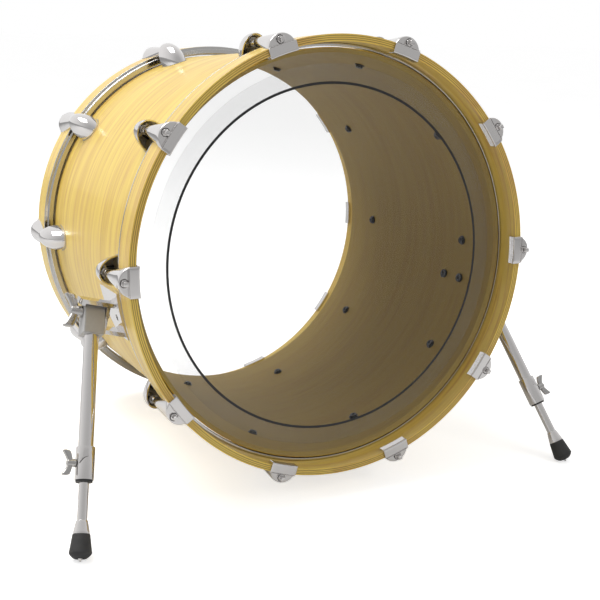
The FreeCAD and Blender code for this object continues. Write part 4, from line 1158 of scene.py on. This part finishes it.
def make_lamps():
    """Three soft lamps; only the top one is mirrored in the chrome."""
    aim = Vector((0, 0, 0.3))
    for name, place, width, power in (("top_light", (-1.0, 0.6, 2.6), 1.6, 48),
                                      ("side_light", (-2.6, 0.2, 1.0), 1.0, 11),
                                      ("front_light", (1.5, -2.4, 1.9), 1.4, 20)):
        data = bpy.data.lights.new(name, "AREA")
        data.energy = power
        data.size = width
        lamp = bpy.data.objects.new(name, data)
        lamp.visible_glossy = name == "top_light"
        lamp.location = place
        lamp.rotation_euler = (aim - Vector(place)).to_track_quat("-Z", "Y").to_euler()
        bpy.context.scene.collection.objects.link(lamp)


def make_camera():
    """Camera placed in the drum's own frame, looking in through the front head."""
    drum = drum_matrix(sizes().hoop_depth)
    right, up, axis = drum.col[1].to_3d(), drum.col[0].to_3d(), drum.col[2].to_3d()

    def along(x, y, z):
        return right * x + axis * y + up * z

    place = drum.to_translation() + along(-0.6293, -1.1276, 0.2267)
    ahead = along(0.4347, 0.8678, -0.2407).normalized()
    above = along(0.1048, 0.2167, 0.9706)
    side = ahead.cross(above).normalized()
    above = side.cross(ahead)
    data = bpy.data.cameras.new("camera")
    data.lens = 59.0
    data.sensor_width = 36.0
    data.shift_y = 0.0545
    camera = bpy.data.objects.new("camera", data)
    camera.matrix_world = columns(side, above, -ahead, place)
    bpy.context.scene.collection.objects.link(camera)
    bpy.context.scene.camera = camera
    bpy.context.scene.view_settings.view_transform = "Standard"


# ---------------------------------------------------------------- operators
class DRUM_OT_shell(bpy.types.Operator):
    """Make the lacquered maple shell"""
    bl_idname = "drum.make_shell"
    bl_label = "Shell"

    def execute(self, context):
        make_shell()
        return {"FINISHED"}


class DRUM_OT_hoops(bpy.types.Operator):
    """Make the two maple hoops with their ply edges"""
    bl_idname = "drum.make_hoops"
    bl_label = "Hoops"

    def execute(self, context):
        make_hoops()
        return {"FINISHED"}


class DRUM_OT_heads(bpy.types.Operator):
    """Make the films, flesh hoops, damping ring and printed ring"""
    bl_idname = "drum.make_heads"
    bl_label = "Heads"

    def execute(self, context):
        make_heads()
        return {"FINISHED"}


class DRUM_OT_claws(bpy.types.Operator):
    """Make the chrome claws on both hoops"""
    bl_idname = "drum.make_claws"
    bl_label = "Claws"

    def execute(self, context):
        make_claws()
        return {"FINISHED"}


class DRUM_OT_rods(bpy.types.Operator):
    """Make the key rods, each on its own body"""
    bl_idname = "drum.make_rods"
    bl_label = "Key rods"

    def execute(self, context):
        make_rods()
        return {"FINISHED"}


class DRUM_OT_lugs(bpy.types.Operator):
    """Make the hollow chrome lugs"""
    bl_idname = "drum.make_lugs"
    bl_label = "Lugs"

    def execute(self, context):
        make_lugs()
        return {"FINISHED"}


class DRUM_OT_legs(bpy.types.Operator):
    """Make the telescopic legs, feet and wing screws"""
    bl_idname = "drum.make_legs"
    bl_label = "Legs"

    def execute(self, context):
        make_legs()
        return {"FINISHED"}


class DRUM_OT_brackets(bpy.types.Operator):
    """Make the spur brackets with eased edges"""
    bl_idname = "drum.make_brackets"
    bl_label = "Brackets"

    def execute(self, context):
        make_brackets()
        return {"FINISHED"}


class DRUM_OT_fasteners(bpy.types.Operator):
    """Finish the screws, nuts, washers, gaskets and bushes"""
    bl_idname = "drum.dress_fasteners"
    bl_label = "Fasteners"

    def execute(self, context):
        dress_nodes()
        return {"FINISHED"}


class DRUM_OT_stage(bpy.types.Operator):
    """Make the floor, light and camera"""
    bl_idname = "drum.make_stage"
    bl_label = "Stage"

    def execute(self, context):
        make_floor()
        make_world()
        make_lamps()
        make_camera()
        return {"FINISHED"}


OPERATORS = [
    DRUM_OT_shell, DRUM_OT_hoops, DRUM_OT_heads, DRUM_OT_claws, DRUM_OT_rods, DRUM_OT_lugs,
    DRUM_OT_legs, DRUM_OT_brackets, DRUM_OT_fasteners, DRUM_OT_stage,
]


class DRUM_PT_panel(bpy.types.Panel):
    """Lists the drum's pieces and sizes"""
    bl_idname = "DRUM_PT_panel"
    bl_label = "Bass Drum"
    bl_space_type = "VIEW_3D"
    bl_region_type = "UI"
    bl_category = "Drum"

    def draw(self, context):
        for made in OPERATORS:
            self.layout.operator(made.bl_idname)
        for name in DrumSizes.__annotations__:
            self.layout.prop(context.scene.drum_sizes, name)
        for name in DrumColours.__annotations__:
            self.layout.prop(context.scene.drum_colours, name)


CLASSES = [DrumSizes, DrumColours, *OPERATORS, DRUM_PT_panel]


def register():
    for item in CLASSES:
        bpy.utils.register_class(item)
    bpy.types.Scene.drum_sizes = bpy.props.PointerProperty(type=DrumSizes)
    bpy.types.Scene.drum_colours = bpy.props.PointerProperty(type=DrumColours)


def unregister():
    del bpy.types.Scene.drum_colours
    del bpy.types.Scene.drum_sizes
    for item in reversed(CLASSES):
        bpy.utils.unregister_class(item)


def main():
    register()
    for step in OPERATORS:
        getattr(bpy.ops.drum, step.bl_idname.split(".")[1])()


if __name__ == "__main__":
    main()
